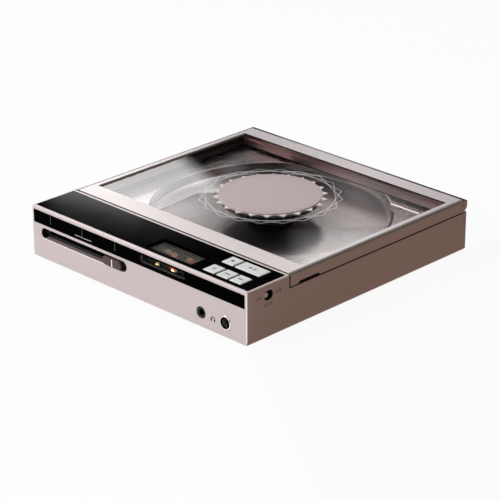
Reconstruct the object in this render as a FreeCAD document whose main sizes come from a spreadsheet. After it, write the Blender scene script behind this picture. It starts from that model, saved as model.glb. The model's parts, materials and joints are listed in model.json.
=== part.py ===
# A portable disc player with a valve output stage: a flat metal case, a glass lid over the disc well,
# a front console with black panels, buttons, a slide control and two headphone jacks.
# Millimetres. X runs to the right as seen from the front, Y to the rear, Z up.
# The origin is the middle of the footprint, on the surface that the feet stand on.
import FreeCAD, Part
import ast
import math
import operator
import os
import re
import Sketcher
from FreeCAD import Placement, Rotation, Vector

doc = FreeCAD.newDocument("tube_disc_player")
sheet = doc.addObject("Spreadsheet::Sheet", "Dims")
pieces = []

# The driving dimensions: name, millimetres (degrees or a count where the note says so), note.
DIMENSIONS = [
    ("disc_radius", 60.0, "disc that the player takes"),
    ("disc_clear", 1.0, "disc to the wall of its well"),
    ("well_side", 14.0, "well to the case sides"),
    ("well_front", 3.9, "well to the front console"),
    ("well_rear", 3.1, "well to the rear face"),
    ("edge_break", 0.4, "bevel on the outer edges of the case"),
    ("side_wall", 2.5, "side walls above the deck's seat"),
    ("front_wall", 3.0, "front wall"),
    ("rear_wall", 2.0, "rear wall"),
    ("deck_ledge", 2.0, "ledge on the side walls that carries the deck"),
    ("strip_wall", 1.5, "wall between the console and the disc bay"),
    ("shelf_thick", 1.2, "metal shelf under the top panel"),
    ("cover_thick", 1.5, "bottom cover"),
    ("cover_rim", 1.2, "case edge round the bottom cover"),
    ("cover_clear", 0.1, "gap round the bottom cover"),
    ("foot_radius", 6.0, "rubber feet"),
    ("foot_proud", 0.8, "feet below the case"),
    ("foot_inlet", 0.5, "feet let into the cover"),
    ("foot_inset", 17.0, "feet centres from the case sides"),
    ("screw_radius", 0.8, "cover and board screws"),
    ("screw_clear", 0.05, "gap round a screw"),
    ("screw_head_radius", 1.4, "screw heads"),
    ("screw_head_thick", 0.8, "screw heads"),
    ("screw_grip", 4.0, "screw length in its hole"),
    ("screw_end_inset", 16.5, "cover screws from the front and rear faces"),
    ("panel_thick", 1.5, "black top panel"),
    ("panel_side_rim", 1.0, "case edge beside the top panel"),
    ("panel_front_rim", 1.65, "case edge before the top panel"),
    ("panel_rear_rim", 1.2, "case edge behind the top panel"),
    ("panel_clear", 0.1, "gap round the black panels"),
    ("fascia_thick", 1.2, "black front panel"),
    ("fascia_height", 7.0, "black front panel"),
    ("fascia_drop", 1.6, "case edge above the front panel"),
    ("fascia_side_rim", 1.2, "case edge beside the front panel"),
    ("window_gap", 7.7, "tube windows to the buttons"),
    ("window_width", 31.0, "tube windows"),
    ("window_depth", 12.0, "top tube window"),
    ("window_inset", 2.85, "top tube window from the panel's front edge"),
    ("window_height", 4.3, "front tube window"),
    ("window_drop", 1.1, "front tube window below the front panel's top edge"),
    ("window_ledge", 0.5, "metal ledge that a window rests on"),
    ("window_clear", 0.05, "gap round a window"),
    ("button_width", 7.4, "single button"),
    ("button_length", 7.8, "buttons, front to rear"),
    ("button_pitch", 8.6, "column spacing"),
    ("row_pitch", 12.15, "row spacing"),
    ("button_right_inset", 8.4, "right column's edge from the case side"),
    ("button_front_inset", 8.4, "front row's centre from the front face"),
    ("button_rear_inset", 7.45, "rear row's centre from the console's rear edge"),
    ("button_proud", 0.4, "buttons above the panel"),
    ("button_gap", 0.15, "gap round a button"),
    ("button_bevel", 0.35, "bevel on a button's top"),
    ("button_travel", 0.5, "how far a button goes down"),
    ("flange_wide", 0.35, "button flange beyond the cap"),
    ("flange_thick", 0.8, "button flange"),
    ("flange_gap", 0.1, "button flange below the panel"),
    ("flange_room", 0.6, "shelf opening round the button flanges"),
    ("stem_radius", 1.6, "button stem"),
    ("stem_length", 3.0, "button stem"),
    ("switch_width", 5.6, "push switch base"),
    ("switch_height", 2.0, "push switch base"),
    ("switch_pin_radius", 1.2, "push switch plunger"),
    ("press_gap", 0.1, "gap left between a pressed stem and its switch"),
    ("post_radius", 1.5, "control board posts"),
    ("post_margin", 1.0, "control board posts to the walls and the window"),
    ("board_thick", 1.2, "circuit boards"),
    ("board_gap", 0.5, "circuit boards to the walls"),
    ("slot_gap", 9.3, "slide control slot to the tube windows"),
    ("slot_height", 5.4, "slide control slot"),
    ("mouth_break", 0.25, "bevel on the slot's and the jack holes' front edges"),
    ("slot_left_inset", 6.5, "slot's left end from the case side"),
    ("slot_level", 14.0, "slot's centre above the case bottom"),
    ("knob_length", 13.4, "slide knob"),
    ("knob_height", 4.6, "slide knob"),
    ("knob_proud", 1.2, "slide knob before the front face"),
    ("knob_sunk", 2.0, "slide knob behind the front face"),
    ("knob_rest_gap", 2.8, "slide knob to the slot's right end"),
    ("knob_round", 0.5, "rounding of the slide knob's face"),
    ("knob_line_width", 0.5, "pointer groove in the slide knob"),
    ("knob_line_deep", 0.2, "pointer groove in the slide knob"),
    ("lever_width", 6.0, "slide lever"),
    ("lever_thick", 1.6, "slide lever"),
    ("lever_length", 4.5, "slide lever behind the knob"),
    ("lever_clear", 0.4, "gap round the slide lever"),
    ("control_margin", 2.0, "slide control body beyond the slot"),
    ("control_depth", 7.0, "slide control body"),
    ("jack_level", 7.4, "jack centres above the case bottom"),
    ("jack_clear", 0.05, "gap between a jack's nose and its hole"),
    ("small_jack_inset", 30.0, "small jack's centre from the case side"),
    ("small_bore", 1.8, "small jack's bore radius"),
    ("small_nose", 2.95, "small jack's nose radius"),
    ("small_nose_sunk", 0.6, "small jack's nose behind the front face"),
    ("small_jack_width", 9.0, "small jack's body"),
    ("small_jack_depth", 14.5, "small jack's body"),
    ("small_plug_depth", 14.0, "small jack's bore length"),
    ("large_jack_inset", 13.9, "large jack's centre from the case side"),
    ("large_bore", 2.25, "large jack's bore radius"),
    ("large_jack_width", 11.0, "large jack's body"),
    ("large_jack_depth", 20.0, "large jack's body"),
    ("large_plug_depth", 18.0, "large jack's bore length"),
    ("ring_outer", 3.65, "ring in the large jack's hole, outer radius"),
    ("ring_inner", 2.5, "ring in the large jack's hole, inner radius"),
    ("ring_proud", 0.2, "ring before the front face"),
    ("ring_bevel", 0.3, "bevel on the ring"),
    ("lock_inset", 14.2, "lock slot's centre from the front face"),
    ("lock_drop", 5.6, "lock slot's centre below the case top"),
    ("lock_slot_length", 5.9, "lock slot"),
    ("lock_slot_height", 5.0, "lock slot"),
    ("lock_knob_radius", 1.65, "lock knob"),
    ("lock_knob_sunk", 0.6, "lock knob below the case side"),
    ("lock_knob_bevel", 0.4, "bevel on the lock knob"),
    ("lock_end_gap", 0.3, "lock knob to the slot's front end"),
    ("lock_travel", 2.0, "lock knob"),
    ("lock_stem_radius", 0.8, "lock knob's stem"),
    ("lock_stem_length", 2.0, "lock knob's stem in the switch"),
    ("lock_body_length", 10.0, "lock switch"),
    ("lock_body_height", 4.4, "lock switch"),
    ("lock_body_depth", 4.5, "lock switch"),
    ("slide_gap", 0.3, "gap between a sliding knob and the face behind it"),
    ("tube_radius", 3.2, "valve envelope"),
    ("tube_glass", 0.5, "valve envelope wall"),
    ("tube_length", 28.0, "valve envelope"),
    ("tube_dome", 1.6, "slope of the valve's tip"),
    ("tube_spacing", 0.4, "gap between the two valves"),
    ("tube_front_gap", 0.9, "front valve to the front wall"),
    ("tube_top_gap", 0.3, "valves below the shelf"),
    ("tube_floor_gap", 1.2, "valves above the control board"),
    ("cradle_wide", 3.0, "valve saddles, along the valves"),
    ("cradle_inset", 2.5, "valve saddles from the envelope's ends"),
    ("cradle_margin", 0.7, "valve saddles beyond the envelopes"),
    ("cradle_clear", 0.1, "gap between a saddle and its envelope"),
    ("mica_gap", 0.05, "gap between a mica spacer and its envelope"),
    ("mica_thick", 0.4, "mica spacers"),
    ("anode_radius", 1.5, "valve anode"),
    ("anode_length", 12.0, "valve anode"),
    ("lead_radius", 0.3, "valve leads"),
    ("lead_length", 2.0, "valve leads beyond the envelope"),
    ("lid_height", 6.2, "lid"),
    ("seam_gap", 0.6, "gap between the closed lid and the case"),
    ("lid_front_gap", 0.9, "gap between the lid and the console"),
    ("lid_front_bar", 11.1, "lid frame at the front"),
    ("lid_rear_bar", 11.2, "lid frame at the rear"),
    ("lid_side_bar", 4.4, "lid frame at the sides"),
    ("lid_front_bevel", 0.5, "bevel on the lid's front top edge"),
    ("bevel_drop", 0.6, "slope on the lid's side and rear top edges"),
    ("side_bevel", 1.9, "slope at the lid's sides"),
    ("rear_bevel", 2.7, "slope at the lid's rear"),
    ("glass_thick", 1.8, "lid glass"),
    ("glass_recess", 0.8, "lid glass below the lid's top"),
    ("glass_ledge", 1.0, "lid frame under the glass"),
    ("glass_clear", 0.1, "gap round the lid glass"),
    ("notch_length", 15.0, "finger notch in the lid's edge"),
    ("notch_height", 1.1, "finger notch"),
    ("notch_deep", 2.5, "finger notch"),
    ("notch_slant", 1.2, "finger notch's slanted ends"),
    ("notch_inset", 5.1, "finger notch from the lid's front"),
    ("hinge_radius", 3.5, "lid's rounded rear edge, about the hinge axis"),
    ("pin_radius", 0.8, "hinge pins"),
    ("pin_clear", 0.05, "hinge pins in their lugs"),
    ("pin_fit", 0.02, "hinge pins in the lid"),
    ("pin_inset", 0.2, "hinge pin ends below the lid's sides"),
    ("pin_length", 12.0, "hinge pins"),
    ("lug_width", 4.0, "hinge lugs"),
    ("lug_inset", 5.0, "hinge lugs from the case sides"),
    ("lug_radius", 1.7, "hinge lug heads"),
    ("lug_neck", 2.4, "hinge lug necks"),
    ("lug_depth", 8.0, "hinge lugs in the case"),
    ("lug_fit", 0.05, "gap round a lug in its slot"),
    ("lug_gap", 0.3, "gap between a lug and the lid"),
    ("lug_block", 6.0, "case blocks round the lugs"),
    ("block_height", 10.0, "case blocks round the lugs"),
    ("magnet_radius", 3.0, "lid and catch magnets"),
    ("magnet_thick", 1.0, "lid and catch magnets"),
    ("magnet_side_inset", 15.0, "magnets from the case sides"),
    ("magnet_fit", 0.05, "gap round a magnet"),
    ("bumper_radius", 1.8, "rubber bumpers under the lid"),
    ("bumper_inlet", 0.5, "bumpers let into the deck"),
    ("bumper_side_inset", 7.0, "bumpers from the case sides"),
    ("catch_inset", 4.6, "magnets and bumpers behind the lid's front"),
    ("emblem_radius", 26.4, "plain disc on the lid glass"),
    ("emblem_proud", 0.4, "plain disc above the lid's top"),
    ("emblem_bevel", 0.3, "bevel on the disc's edge"),
    ("ring_line_inset", 2.2, "turned line on the disc, from its edge"),
    ("ring_line_width", 0.3, "turned line on the disc"),
    ("ring_line_deep", 0.1, "turned line on the disc"),
    ("sun_thick", 0.4, "toothed ring under the disc"),
    ("sun_overlap", 6.0, "toothed ring under the disc"),
    ("tooth_length", 2.7, "teeth beyond the disc"),
    ("tooth_half_width", 3.4, "teeth at their roots, half their width"),
    ("tooth_count", 22, "teeth, a count"),
    ("backing_inset", 1.4, "backing plate's edge inside the disc's"),
    ("backing_thick", 1.0, "backing plate under the lid glass"),
    ("deck_drop", 0.3, "deck below the case's edge"),
    ("deck_thick", 1.5, "deck plate"),
    ("deck_clear", 0.1, "gap round the deck"),
    ("deck_screw_radius", 0.6, "deck screws"),
    ("deck_head_radius", 1.0, "deck screw heads"),
    ("deck_head_thick", 0.7, "deck screw heads"),
    ("deck_screw_pitch", 45.0, "spacing of the deck screws"),
    ("well_wall", 0.8, "disc well's wall"),
    ("well_depth", 5.9, "disc well"),
    ("well_edge", 0.5, "bevel on the top edges of the well and the recess"),
    ("well_round", 2.5, "rounding at the foot of the well's wall"),
    ("floor_thick", 1.0, "disc well's floor"),
    ("recess_depth", 3.1, "finger recess beside the well"),
    ("recess_inset", 0.1, "finger recess's right wall inside the well's edge"),
    ("recess_rear", 46.0, "finger recess, behind the spindle"),
    ("recess_width", 30.0, "finger recess, before the well's arc cuts it"),
    ("recess_round", 3.0, "finger recess corners"),
    ("recess_wall", 1.0, "finger recess wall and floor"),
    ("mech_angle", 135.0, "pickup's direction about the spindle, degrees"),
    ("hub_hole", 13.5, "hole in the well's floor for the hub"),
    ("pickup_opening", 14.0, "opening in the well's floor for the pickup"),
    ("opening_end_gap", 0.5, "pickup's turret to the end of the opening"),
    ("mech_gap", 1.0, "mechanism plate below the well's floor"),
    ("mech_thick", 1.0, "mechanism plate"),
    ("mech_tail", 16.0, "mechanism plate behind the spindle"),
    ("mech_end", 5.0, "mechanism plate beyond the pickup's opening"),
    ("mech_corner", 4.0, "bevels on the mechanism plate's far corners"),
    ("mech_half_width", 21.5, "mechanism plate, half its width"),
    ("seat_height", 2.4, "disc seat above the well's floor"),
    ("hub_radius", 12.5, "turntable"),
    ("hub_thick", 1.6, "turntable rim"),
    ("hub_sleeve", 4.0, "turntable sleeve radius"),
    ("hub_sleeve_gap", 0.4, "turntable sleeve above the mechanism plate"),
    ("boss_radius", 7.4, "centring boss for the disc"),
    ("boss_height", 2.2, "centring boss above the disc seat"),
    ("boss_taper", 1.0, "lead-in slope on the centring boss"),
    ("ball_radius", 0.9, "disc catch balls"),
    ("ball_proud", 0.05, "disc catch balls beyond the boss"),
    ("ball_clear", 0.1, "gap round a catch ball"),
    ("motor_radius", 9.0, "spindle motor"),
    ("motor_height", 6.0, "spindle motor"),
    ("motor_room", 3.5, "spindle motor above the bottom cover"),
    ("motor_bevel", 0.6, "bevels on the motor cans"),
    ("shaft_radius", 0.75, "spindle shaft"),
    ("shaft_clear", 0.05, "shafts and rods in their bearings"),
    ("rod_radius", 1.0, "guide rods"),
    ("rod_spread", 11.0, "guide rods to either side of the spindle"),
    ("rod_drop", 2.0, "guide rods below the mechanism plate"),
    ("rod_start", 8.0, "rod supports from the spindle"),
    ("rod_support", 2.5, "rod supports, along the rods"),
    ("rod_support_wide", 4.5, "rod supports, across the rods"),
    ("lens_start", 23.0, "lens from the spindle at rest"),
    ("track_margin", 4.0, "disc's rim to the lens at the end of its way"),
    ("sled_length", 10.0, "pickup sled, along its way"),
    ("sled_width", 26.0, "pickup sled, across its way"),
    ("sled_thick", 3.6, "pickup sled"),
    ("sled_gap", 0.4, "pickup sled below the mechanism plate"),
    ("turret_length", 7.0, "pickup turret, along its way"),
    ("turret_width", 11.0, "pickup turret, across its way"),
    ("turret_rise", 0.3, "pickup turret above the well's floor"),
    ("lens_radius", 2.2, "lens"),
    ("lens_holder", 2.8, "lens holder"),
    ("lens_holder_height", 0.6, "lens holder"),
    ("lens_crown", 0.5, "lens above its holder"),
    ("lens_bevel", 0.4, "slope round the lens"),
    ("screw_offset", 15.0, "lead screw beside the spindle"),
    ("screw_drop", 3.6, "lead screw below the mechanism plate"),
    ("lead_screw_radius", 1.0, "lead screw"),
    ("nut_wall", 0.5, "nut arm round the lead screw"),
    ("nut_length", 6.0, "nut arm, along the lead screw"),
    ("tab_thick", 1.5, "lead screw tabs on the mechanism plate"),
    ("tab_start", 5.0, "motor tab from the spindle"),
    ("tab_inset", 3.5, "bearing tab from the mechanism plate's end"),
    ("tab_half_width", 1.6, "lead screw tabs, half their width"),
    ("sled_motor_radius", 3.3, "sled motor"),
    ("sled_motor_length", 14.0, "sled motor"),
    ("damper_radius", 2.0, "rubber dampers"),
    ("damper_height", 2.0, "rubber dampers"),
    ("damper_offset", 19.0, "dampers to either side of the spindle"),
    ("damper_near", 13.5, "dampers behind the spindle"),
    ("damper_inset", 5.5, "far dampers from the mechanism plate's end"),
    ("pillar_radius", 2.2, "pillars on the bottom cover"),
    ("pillar_margin", 0.4, "rear board's pillars inside its edges"),
    ("board_rise", 1.8, "boards above the bottom cover"),
    ("main_board_depth", 50.0, "main board, front to rear"),
    ("main_board_inset", 4.0, "main board from the front face"),
    ("board_screw_inset", 5.0, "board screws from the board's edges"),
    ("battery_width", 32.0, "battery pack"),
    ("battery_length", 52.0, "battery pack"),
    ("battery_height", 8.0, "battery pack"),
    ("battery_round", 1.5, "battery pack corners"),
    ("battery_side_inset", 6.0, "battery pack from the case side"),
    ("battery_rear_inset", 6.5, "battery pack from the rear face"),
    ("rear_board_gap", 2.0, "rear board to the battery pack"),
    ("rear_board_width", 34.0, "rear board"),
    ("rear_board_depth", 14.0, "rear board"),
    ("usb_inset", 8.0, "charging socket from the rear board's left edge"),
    ("usb_width", 8.9, "charging socket shell"),
    ("usb_height", 3.2, "charging socket shell"),
    ("usb_depth", 7.4, "charging socket shell"),
    ("usb_shell", 0.35, "charging socket sheet"),
    ("usb_tongue", 0.7, "charging socket tongue"),
    ("usb_sunk", 0.6, "charging socket behind the rear face"),
    ("usb_clear", 0.15, "gap round the charging socket"),
    ("line_inset", 24.0, "line jack from the rear board's left edge"),
]
NAMES = [name for name, number, note in DIMENSIONS]
for row, (name, number, note) in enumerate(DIMENSIONS, start=1):
    sheet.set(f"A{row}", name)
    sheet.set(f"B{row}", str(number))
    sheet.setAlias(f"B{row}", name)
    sheet.set(f"C{row}", note)
doc.recompute()


# Planes and levels that several pieces share, as formulas of the dimensions
WELL = "(disc_radius + disc_clear)"
STRIP_DEPTH = "(button_front_inset + row_pitch + button_rear_inset)"
SIDE = f"({WELL} + well_side)"
REAR = f"(({STRIP_DEPTH} + well_front + 2 * {WELL} + well_rear) / 2)"
FRONT = f"(-{REAR})"
BOTTOM = "foot_proud"
MOTOR_UNDER = f"({BOTTOM} + cover_thick + motor_room)"
MECH_UNDER = f"({MOTOR_UNDER} + motor_height)"
MECH_TOP = f"({MECH_UNDER} + mech_thick)"
FLOOR_UNDER = f"({MECH_TOP} + mech_gap)"
FLOOR = f"({FLOOR_UNDER} + floor_thick)"
DECK = f"({FLOOR} + well_depth)"
DECK_UNDER = f"({DECK} - deck_thick)"
RIM = f"({DECK} + deck_drop)"
SEAM = f"({RIM} + seam_gap)"
TOP = f"({SEAM} + lid_height)"
FRONT_INNER = f"({FRONT} + front_wall)"
REAR_INNER = f"({REAR} - rear_wall)"
SIDE_INNER = f"({SIDE} - side_wall)"
SIDE_LOWER = f"({SIDE_INNER} - deck_ledge)"
STRIP_REAR = f"({FRONT} + {STRIP_DEPTH})"
STRIP_INNER = f"({STRIP_REAR} - strip_wall)"
SHELF = f"({TOP} - panel_thick)"
SHELF_UNDER = f"({SHELF} - shelf_thick)"
COVER_TOP = f"({BOTTOM} + cover_thick)"
LID_FRONT = f"({STRIP_REAR} + lid_front_gap)"
GLASS_SIDE = f"({SIDE} - lid_side_bar)"
GLASS_FRONT = f"({LID_FRONT} + lid_front_bar)"
GLASS_REAR = f"({REAR} - lid_rear_bar)"
GLASS_TOP = f"({TOP} - glass_recess)"
GLASS_UNDER = f"({GLASS_TOP} - glass_thick)"
SPINDLE_Y = f"({STRIP_REAR} + well_front + {WELL})"
HINGE_Y = f"({REAR} - hinge_radius)"
HINGE_Z = f"({SEAM} + hinge_radius)"
PANEL_FRONT = f"({FRONT} + panel_front_rim)"
PANEL_REAR = f"({STRIP_REAR} - panel_rear_rim)"
PANEL_SIDE = f"({SIDE} - panel_side_rim)"
FASCIA_TOP = f"({TOP} - fascia_drop)"
FASCIA_SIDE = f"({SIDE} - fascia_side_rim)"
FASCIA_REAR = f"({FRONT} + fascia_thick)"
BUTTONS_RIGHT = f"({SIDE} - button_right_inset)"
BUTTONS_LEFT = f"({BUTTONS_RIGHT} - 2 * button_pitch - button_width)"
WINDOW_LEFT = f"({BUTTONS_LEFT} - window_gap - window_width)"
WINDOW_X = f"({WINDOW_LEFT} + window_width / 2)"
WINDOW_FRONT = f"({PANEL_FRONT} + window_inset)"
WINDOW_Y = f"({WINDOW_FRONT} + window_depth / 2)"
WINDOW_Z = f"({FASCIA_TOP} - window_drop - window_height / 2)"
SLOT_END = f"({WINDOW_LEFT} - slot_gap)"
SLOT_LENGTH = f"({SLOT_END} + {SIDE} - slot_left_inset)"
SLOT_X = f"({SLOT_END} - {SLOT_LENGTH} / 2)"
SLOT_Z = f"({BOTTOM} + slot_level)"
KNOB_X = f"({SLOT_END} - knob_rest_gap - knob_length / 2)"
JACK_Z = f"({BOTTOM} + jack_level)"
SMALL_JACK_X = f"({SIDE} - small_jack_inset)"
LARGE_JACK_X = f"({SIDE} - large_jack_inset)"
LOCK_Y = f"({FRONT} + lock_inset)"
LOCK_Z = f"({TOP} - lock_drop)"
LOCK_KNOB_Y = f"({LOCK_Y} - lock_slot_length / 2 + lock_end_gap + lock_knob_radius)"
TUBE_Z = f"({SHELF_UNDER} - tube_top_gap - tube_radius)"
FRONT_TUBE_Y = f"({FRONT_INNER} + tube_front_gap + tube_radius)"
REAR_TUBE_Y = f"({FRONT_TUBE_Y} + 2 * tube_radius + tube_spacing)"
POST_END = f"({TUBE_Z} - tube_radius - tube_floor_gap)"
BOARD_UNDER = f"({COVER_TOP} + board_rise)"
BOARD_TOP = f"({BOARD_UNDER} + board_thick)"
MAIN_FRONT = f"({FRONT} + main_board_inset)"
MAIN_REAR = f"({MAIN_FRONT} + main_board_depth)"
MAIN_SIDE = f"({SIDE_LOWER} - board_gap)"
REAR_BOARD_REAR = f"({REAR_INNER} - board_gap)"
REAR_BOARD_FRONT = f"({REAR_BOARD_REAR} - rear_board_depth)"
USB_Z = f"({BOARD_TOP} + usb_height / 2)"
ROD_Z = f"({MECH_UNDER} - rod_drop)"
SCREW_Z = f"({MECH_UNDER} - screw_drop)"
SLED_TOP = f"({MECH_UNDER} - sled_gap)"
SLED_UNDER = f"({SLED_TOP} - sled_thick)"
TURRET_TOP = f"({FLOOR} + turret_rise)"
SEAT = f"({FLOOR} + seat_height)"
OPENING_END = "(disc_radius - track_margin + turret_length / 2 + opening_end_gap)"
MECH_REACH = f"({OPENING_END} + mech_end)"
TAB_END = f"({MECH_REACH} - tab_inset)"
DAMPER_FAR = f"({MECH_REACH} - damper_inset)"
BATTERY_RIGHT = f"({SIDE} - battery_side_inset)"
BATTERY_LEFT = f"({BATTERY_RIGHT} - battery_width)"
REAR_BOARD_RIGHT = f"({BATTERY_LEFT} - rear_board_gap)"
REAR_BOARD_LEFT = f"({REAR_BOARD_RIGHT} - rear_board_width)"
USB_X = f"({REAR_BOARD_LEFT} + usb_inset)"
LINE_JACK_X = f"({REAR_BOARD_LEFT} + line_inset)"
CATCH_Y = f"({LID_FRONT} + catch_inset)"
FULL_TURN = 360.0
BALL_COUNT = 3
SAME_PLACE = 1e-4
ARITHMETIC = {ast.Add: operator.add, ast.Sub: operator.sub, ast.Mult: operator.mul, ast.Div: operator.truediv}


def bound(formula):
    """The formula with each dimension's name pointing at its cell."""
    def cell(match):
        word = match.group()
        return f"Dims.{word}" if word in NAMES else word
    return re.sub(r"[A-Za-z_]\w*", cell, formula)


def bind(thing, prop, formula):
    thing.setExpression(prop, bound(formula))


def worked_out(term):
    """The number that a parsed formula of named sizes comes to."""
    if isinstance(term, ast.Constant):
        return term.value
    if isinstance(term, ast.Name):
        return float(sheet.get(term.id))
    if isinstance(term, ast.UnaryOp):
        return -worked_out(term.operand)
    return ARITHMETIC[type(term.op)](worked_out(term.left), worked_out(term.right))


def value(formula):
    """The formula's value now, so that an outline is drawn at its true place before it is held there."""
    return worked_out(ast.parse(formula).body[0].value)


def middle(span):
    return f"(({span[0]}) + ({span[1]})) / 2"


def extent(span):
    return f"(({span[1]}) - ({span[0]}))"


def new_body(label):
    body = doc.addObject("PartDesign::Body", label)
    pieces.append(body)
    return body


def new_sketch(body, plane, at, turn=None):
    """A sketch on one of the body's planes, with its own origin at a point of the part's frame."""
    along, across, normal = {
        "XY_Plane": (at[0], at[1], at[2]),
        "XZ_Plane": (at[0], at[2], f"-({at[1]})"),
        "YZ_Plane": (at[1], at[2], at[0]),
    }[plane]
    sketch = body.newObject("Sketcher::SketchObject", f"{body.Name}_sketch")
    origin_plane = next(item for item in body.Origin.OriginFeatures if item.Role == plane)
    sketch.AttachmentSupport = [(origin_plane, "")]
    sketch.MapMode = "FlatFace"
    if turn is not None:
        sketch.AttachmentOffset = Placement(Vector(), Rotation(Vector(0, 0, 1), 1))
        bind(sketch, "AttachmentOffset.Rotation.Angle", turn)
    bind(sketch, "AttachmentOffset.Base.x", along)
    bind(sketch, "AttachmentOffset.Base.y", across)
    bind(sketch, "AttachmentOffset.Base.z", normal)
    return sketch


def hold(sketch, kind, *where, formula):
    """One dimension constraint, bound to a formula."""
    index = sketch.addConstraint(Sketcher.Constraint(kind, *where, value(formula)))
    bind(sketch, f"Constraints[{index}]", formula)


def hold_point(sketch, geometry, point, place):
    hold(sketch, "DistanceX", -1, 1, geometry, point, formula=place[0])
    hold(sketch, "DistanceY", -1, 1, geometry, point, formula=place[1])


def add_polygon(sketch, corners):
    """A closed outline through the corners, each given as two formulas."""
    first = sketch.GeometryCount
    count = len(corners)
    starts = [Vector(value(x), value(y), 0) for x, y in corners]
    for k in range(count):
        sketch.addGeometry(Part.LineSegment(starts[k], starts[(k + 1) % count]), False)
    for k in range(count):
        sketch.addConstraint(Sketcher.Constraint("Coincident", first + k, 2, first + (k + 1) % count, 1))
    for k, corner in enumerate(corners):
        hold_point(sketch, first + k, 1, corner)


def add_rectangle(sketch, width, height, centre=("0", "0")):
    left = f"({centre[0]}) - ({width}) / 2"
    right = f"({centre[0]}) + ({width}) / 2"
    low = f"({centre[1]}) - ({height}) / 2"
    high = f"({centre[1]}) + ({height}) / 2"
    add_polygon(sketch, [(left, low), (right, low), (right, high), (left, high)])


def add_circle(sketch, radius, centre=("0", "0")):
    start = Vector(value(centre[0]), value(centre[1]), 0)
    index = sketch.addGeometry(Part.Circle(start, Vector(0, 0, 1), value(radius)), False)
    hold(sketch, "Radius", index, formula=radius)
    hold_point(sketch, index, 3, centre)


def add_slot(sketch, length, height):
    """A stadium along the sketch's first axis, about its origin."""
    reach = f"(({length}) - ({height})) / 2"
    half = f"({height}) / 2"
    along, radius = Vector(value(reach), 0, 0), value(half)
    up = Vector(0, 0, 1)
    drop = Vector(0, radius, 0)
    sketch.addGeometry(Part.LineSegment(-along - drop, along - drop), False)
    sketch.addGeometry(Part.ArcOfCircle(Part.Circle(along, up, radius), -math.pi / 2, math.pi / 2), False)
    sketch.addGeometry(Part.LineSegment(along + drop, -along + drop), False)
    sketch.addGeometry(Part.ArcOfCircle(Part.Circle(-along, up, radius), math.pi / 2, 3 * math.pi / 2), False)
    for k in range(4):
        sketch.addConstraint(Sketcher.Constraint("Coincident", k, 2, (k + 1) % 4, 1))
    hold_point(sketch, 0, 1, (f"-{reach}", f"-{half}"))
    hold_point(sketch, 0, 2, (reach, f"-{half}"))
    hold_point(sketch, 2, 1, (reach, half))
    hold_point(sketch, 2, 2, (f"-{reach}", half))
    hold(sketch, "DistanceX", -1, 1, 1, 3, formula=reach)
    hold(sketch, "DistanceX", -1, 1, 3, 3, formula=f"-{reach}")


def extrude(body, kind, sketch, length):
    feature = body.newObject(f"PartDesign::{kind}", f"{body.Name}_{kind}")
    feature.Profile = sketch
    bind(feature, "Length", length)
    return feature


def add_block(body, xs, ys, zs):
    """A rectangular block between pairs of formulas."""
    sketch = new_sketch(body, "XY_Plane", (middle(xs), middle(ys), zs[0]))
    add_rectangle(sketch, extent(xs), extent(ys))
    return extrude(body, "Pad", sketch, extent(zs))


def cut_block(body, xs, ys, zs):
    sketch = new_sketch(body, "XY_Plane", (middle(xs), middle(ys), zs[1]))
    add_rectangle(sketch, extent(xs), extent(ys))
    return extrude(body, "Pocket", sketch, extent(zs))


def add_rounds(body, radius, centres, zs):
    """Upright cylinders at one level."""
    sketch = new_sketch(body, "XY_Plane", ("0", "0", zs[0]))
    for centre in centres:
        add_circle(sketch, radius, centre)
    return extrude(body, "Pad", sketch, extent(zs))


def cut_rounds(body, radius, centres, zs):
    sketch = new_sketch(body, "XY_Plane", ("0", "0", zs[1]))
    for centre in centres:
        add_circle(sketch, radius, centre)
    return extrude(body, "Pocket", sketch, extent(zs))


def cut_front(body, outline, centre, ys):
    """A cut from the plane ys[0] back to ys[1], with its outline drawn about a point of the front."""
    sketch = new_sketch(body, "XZ_Plane", (centre[0], ys[0], centre[1]))
    outline(sketch)
    return extrude(body, "Pocket", sketch, extent(ys))


def add_front(body, outline, centre, ys):
    sketch = new_sketch(body, "XZ_Plane", (centre[0], ys[1], centre[1]))
    outline(sketch)
    return extrude(body, "Pad", sketch, extent(ys))


def turn_profile(body, kind, at, corners, axis="V_Axis"):
    """A Revolution or Groove of an outline about one axis of its sketch."""
    sketch = new_sketch(body, "XZ_Plane", at)
    add_polygon(sketch, corners)
    feature = body.newObject(f"PartDesign::{kind}", f"{body.Name}_{kind}")
    feature.Profile = sketch
    feature.ReferenceAxis = (sketch, [axis])
    feature.Angle = FULL_TURN
    return feature


def dress(body, kind, size, wanted):
    """A Fillet or Chamfer on the edges of the body's last feature that the test picks."""
    doc.recompute()
    base = body.Tip
    edges = [f"Edge{k}" for k, edge in enumerate(base.Shape.Edges, start=1) if wanted(edge)]
    feature = body.newObject(f"PartDesign::{kind}", f"{body.Name}_{kind}")
    feature.Base = (base, edges)
    bind(feature, "Radius" if kind == "Fillet" else "Size", size)
    return feature


def flat_at(body, axis, side):
    """A test for edges that lie in the body's outermost plane along an axis."""
    doc.recompute()
    box = body.Tip.Shape.BoundBox
    level = getattr(box, f"{axis}{side}")

    def wanted(edge):
        low = getattr(edge.BoundBox, f"{axis}Min")
        high = getattr(edge.BoundBox, f"{axis}Max")
        return abs(low - level) < SAME_PLACE and abs(high - level) < SAME_PLACE
    return wanted


def upright(edge):
    return edge.BoundBox.XLength < SAME_PLACE and edge.BoundBox.YLength < SAME_PLACE


def round_edge(edge, radius):
    """Whether an edge is an arc or circle of a radius that a formula gives."""
    curve = edge.Curve
    return curve.TypeId == "Part::GeomCircle" and abs(curve.Radius - value(radius)) < SAME_PLACE


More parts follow.
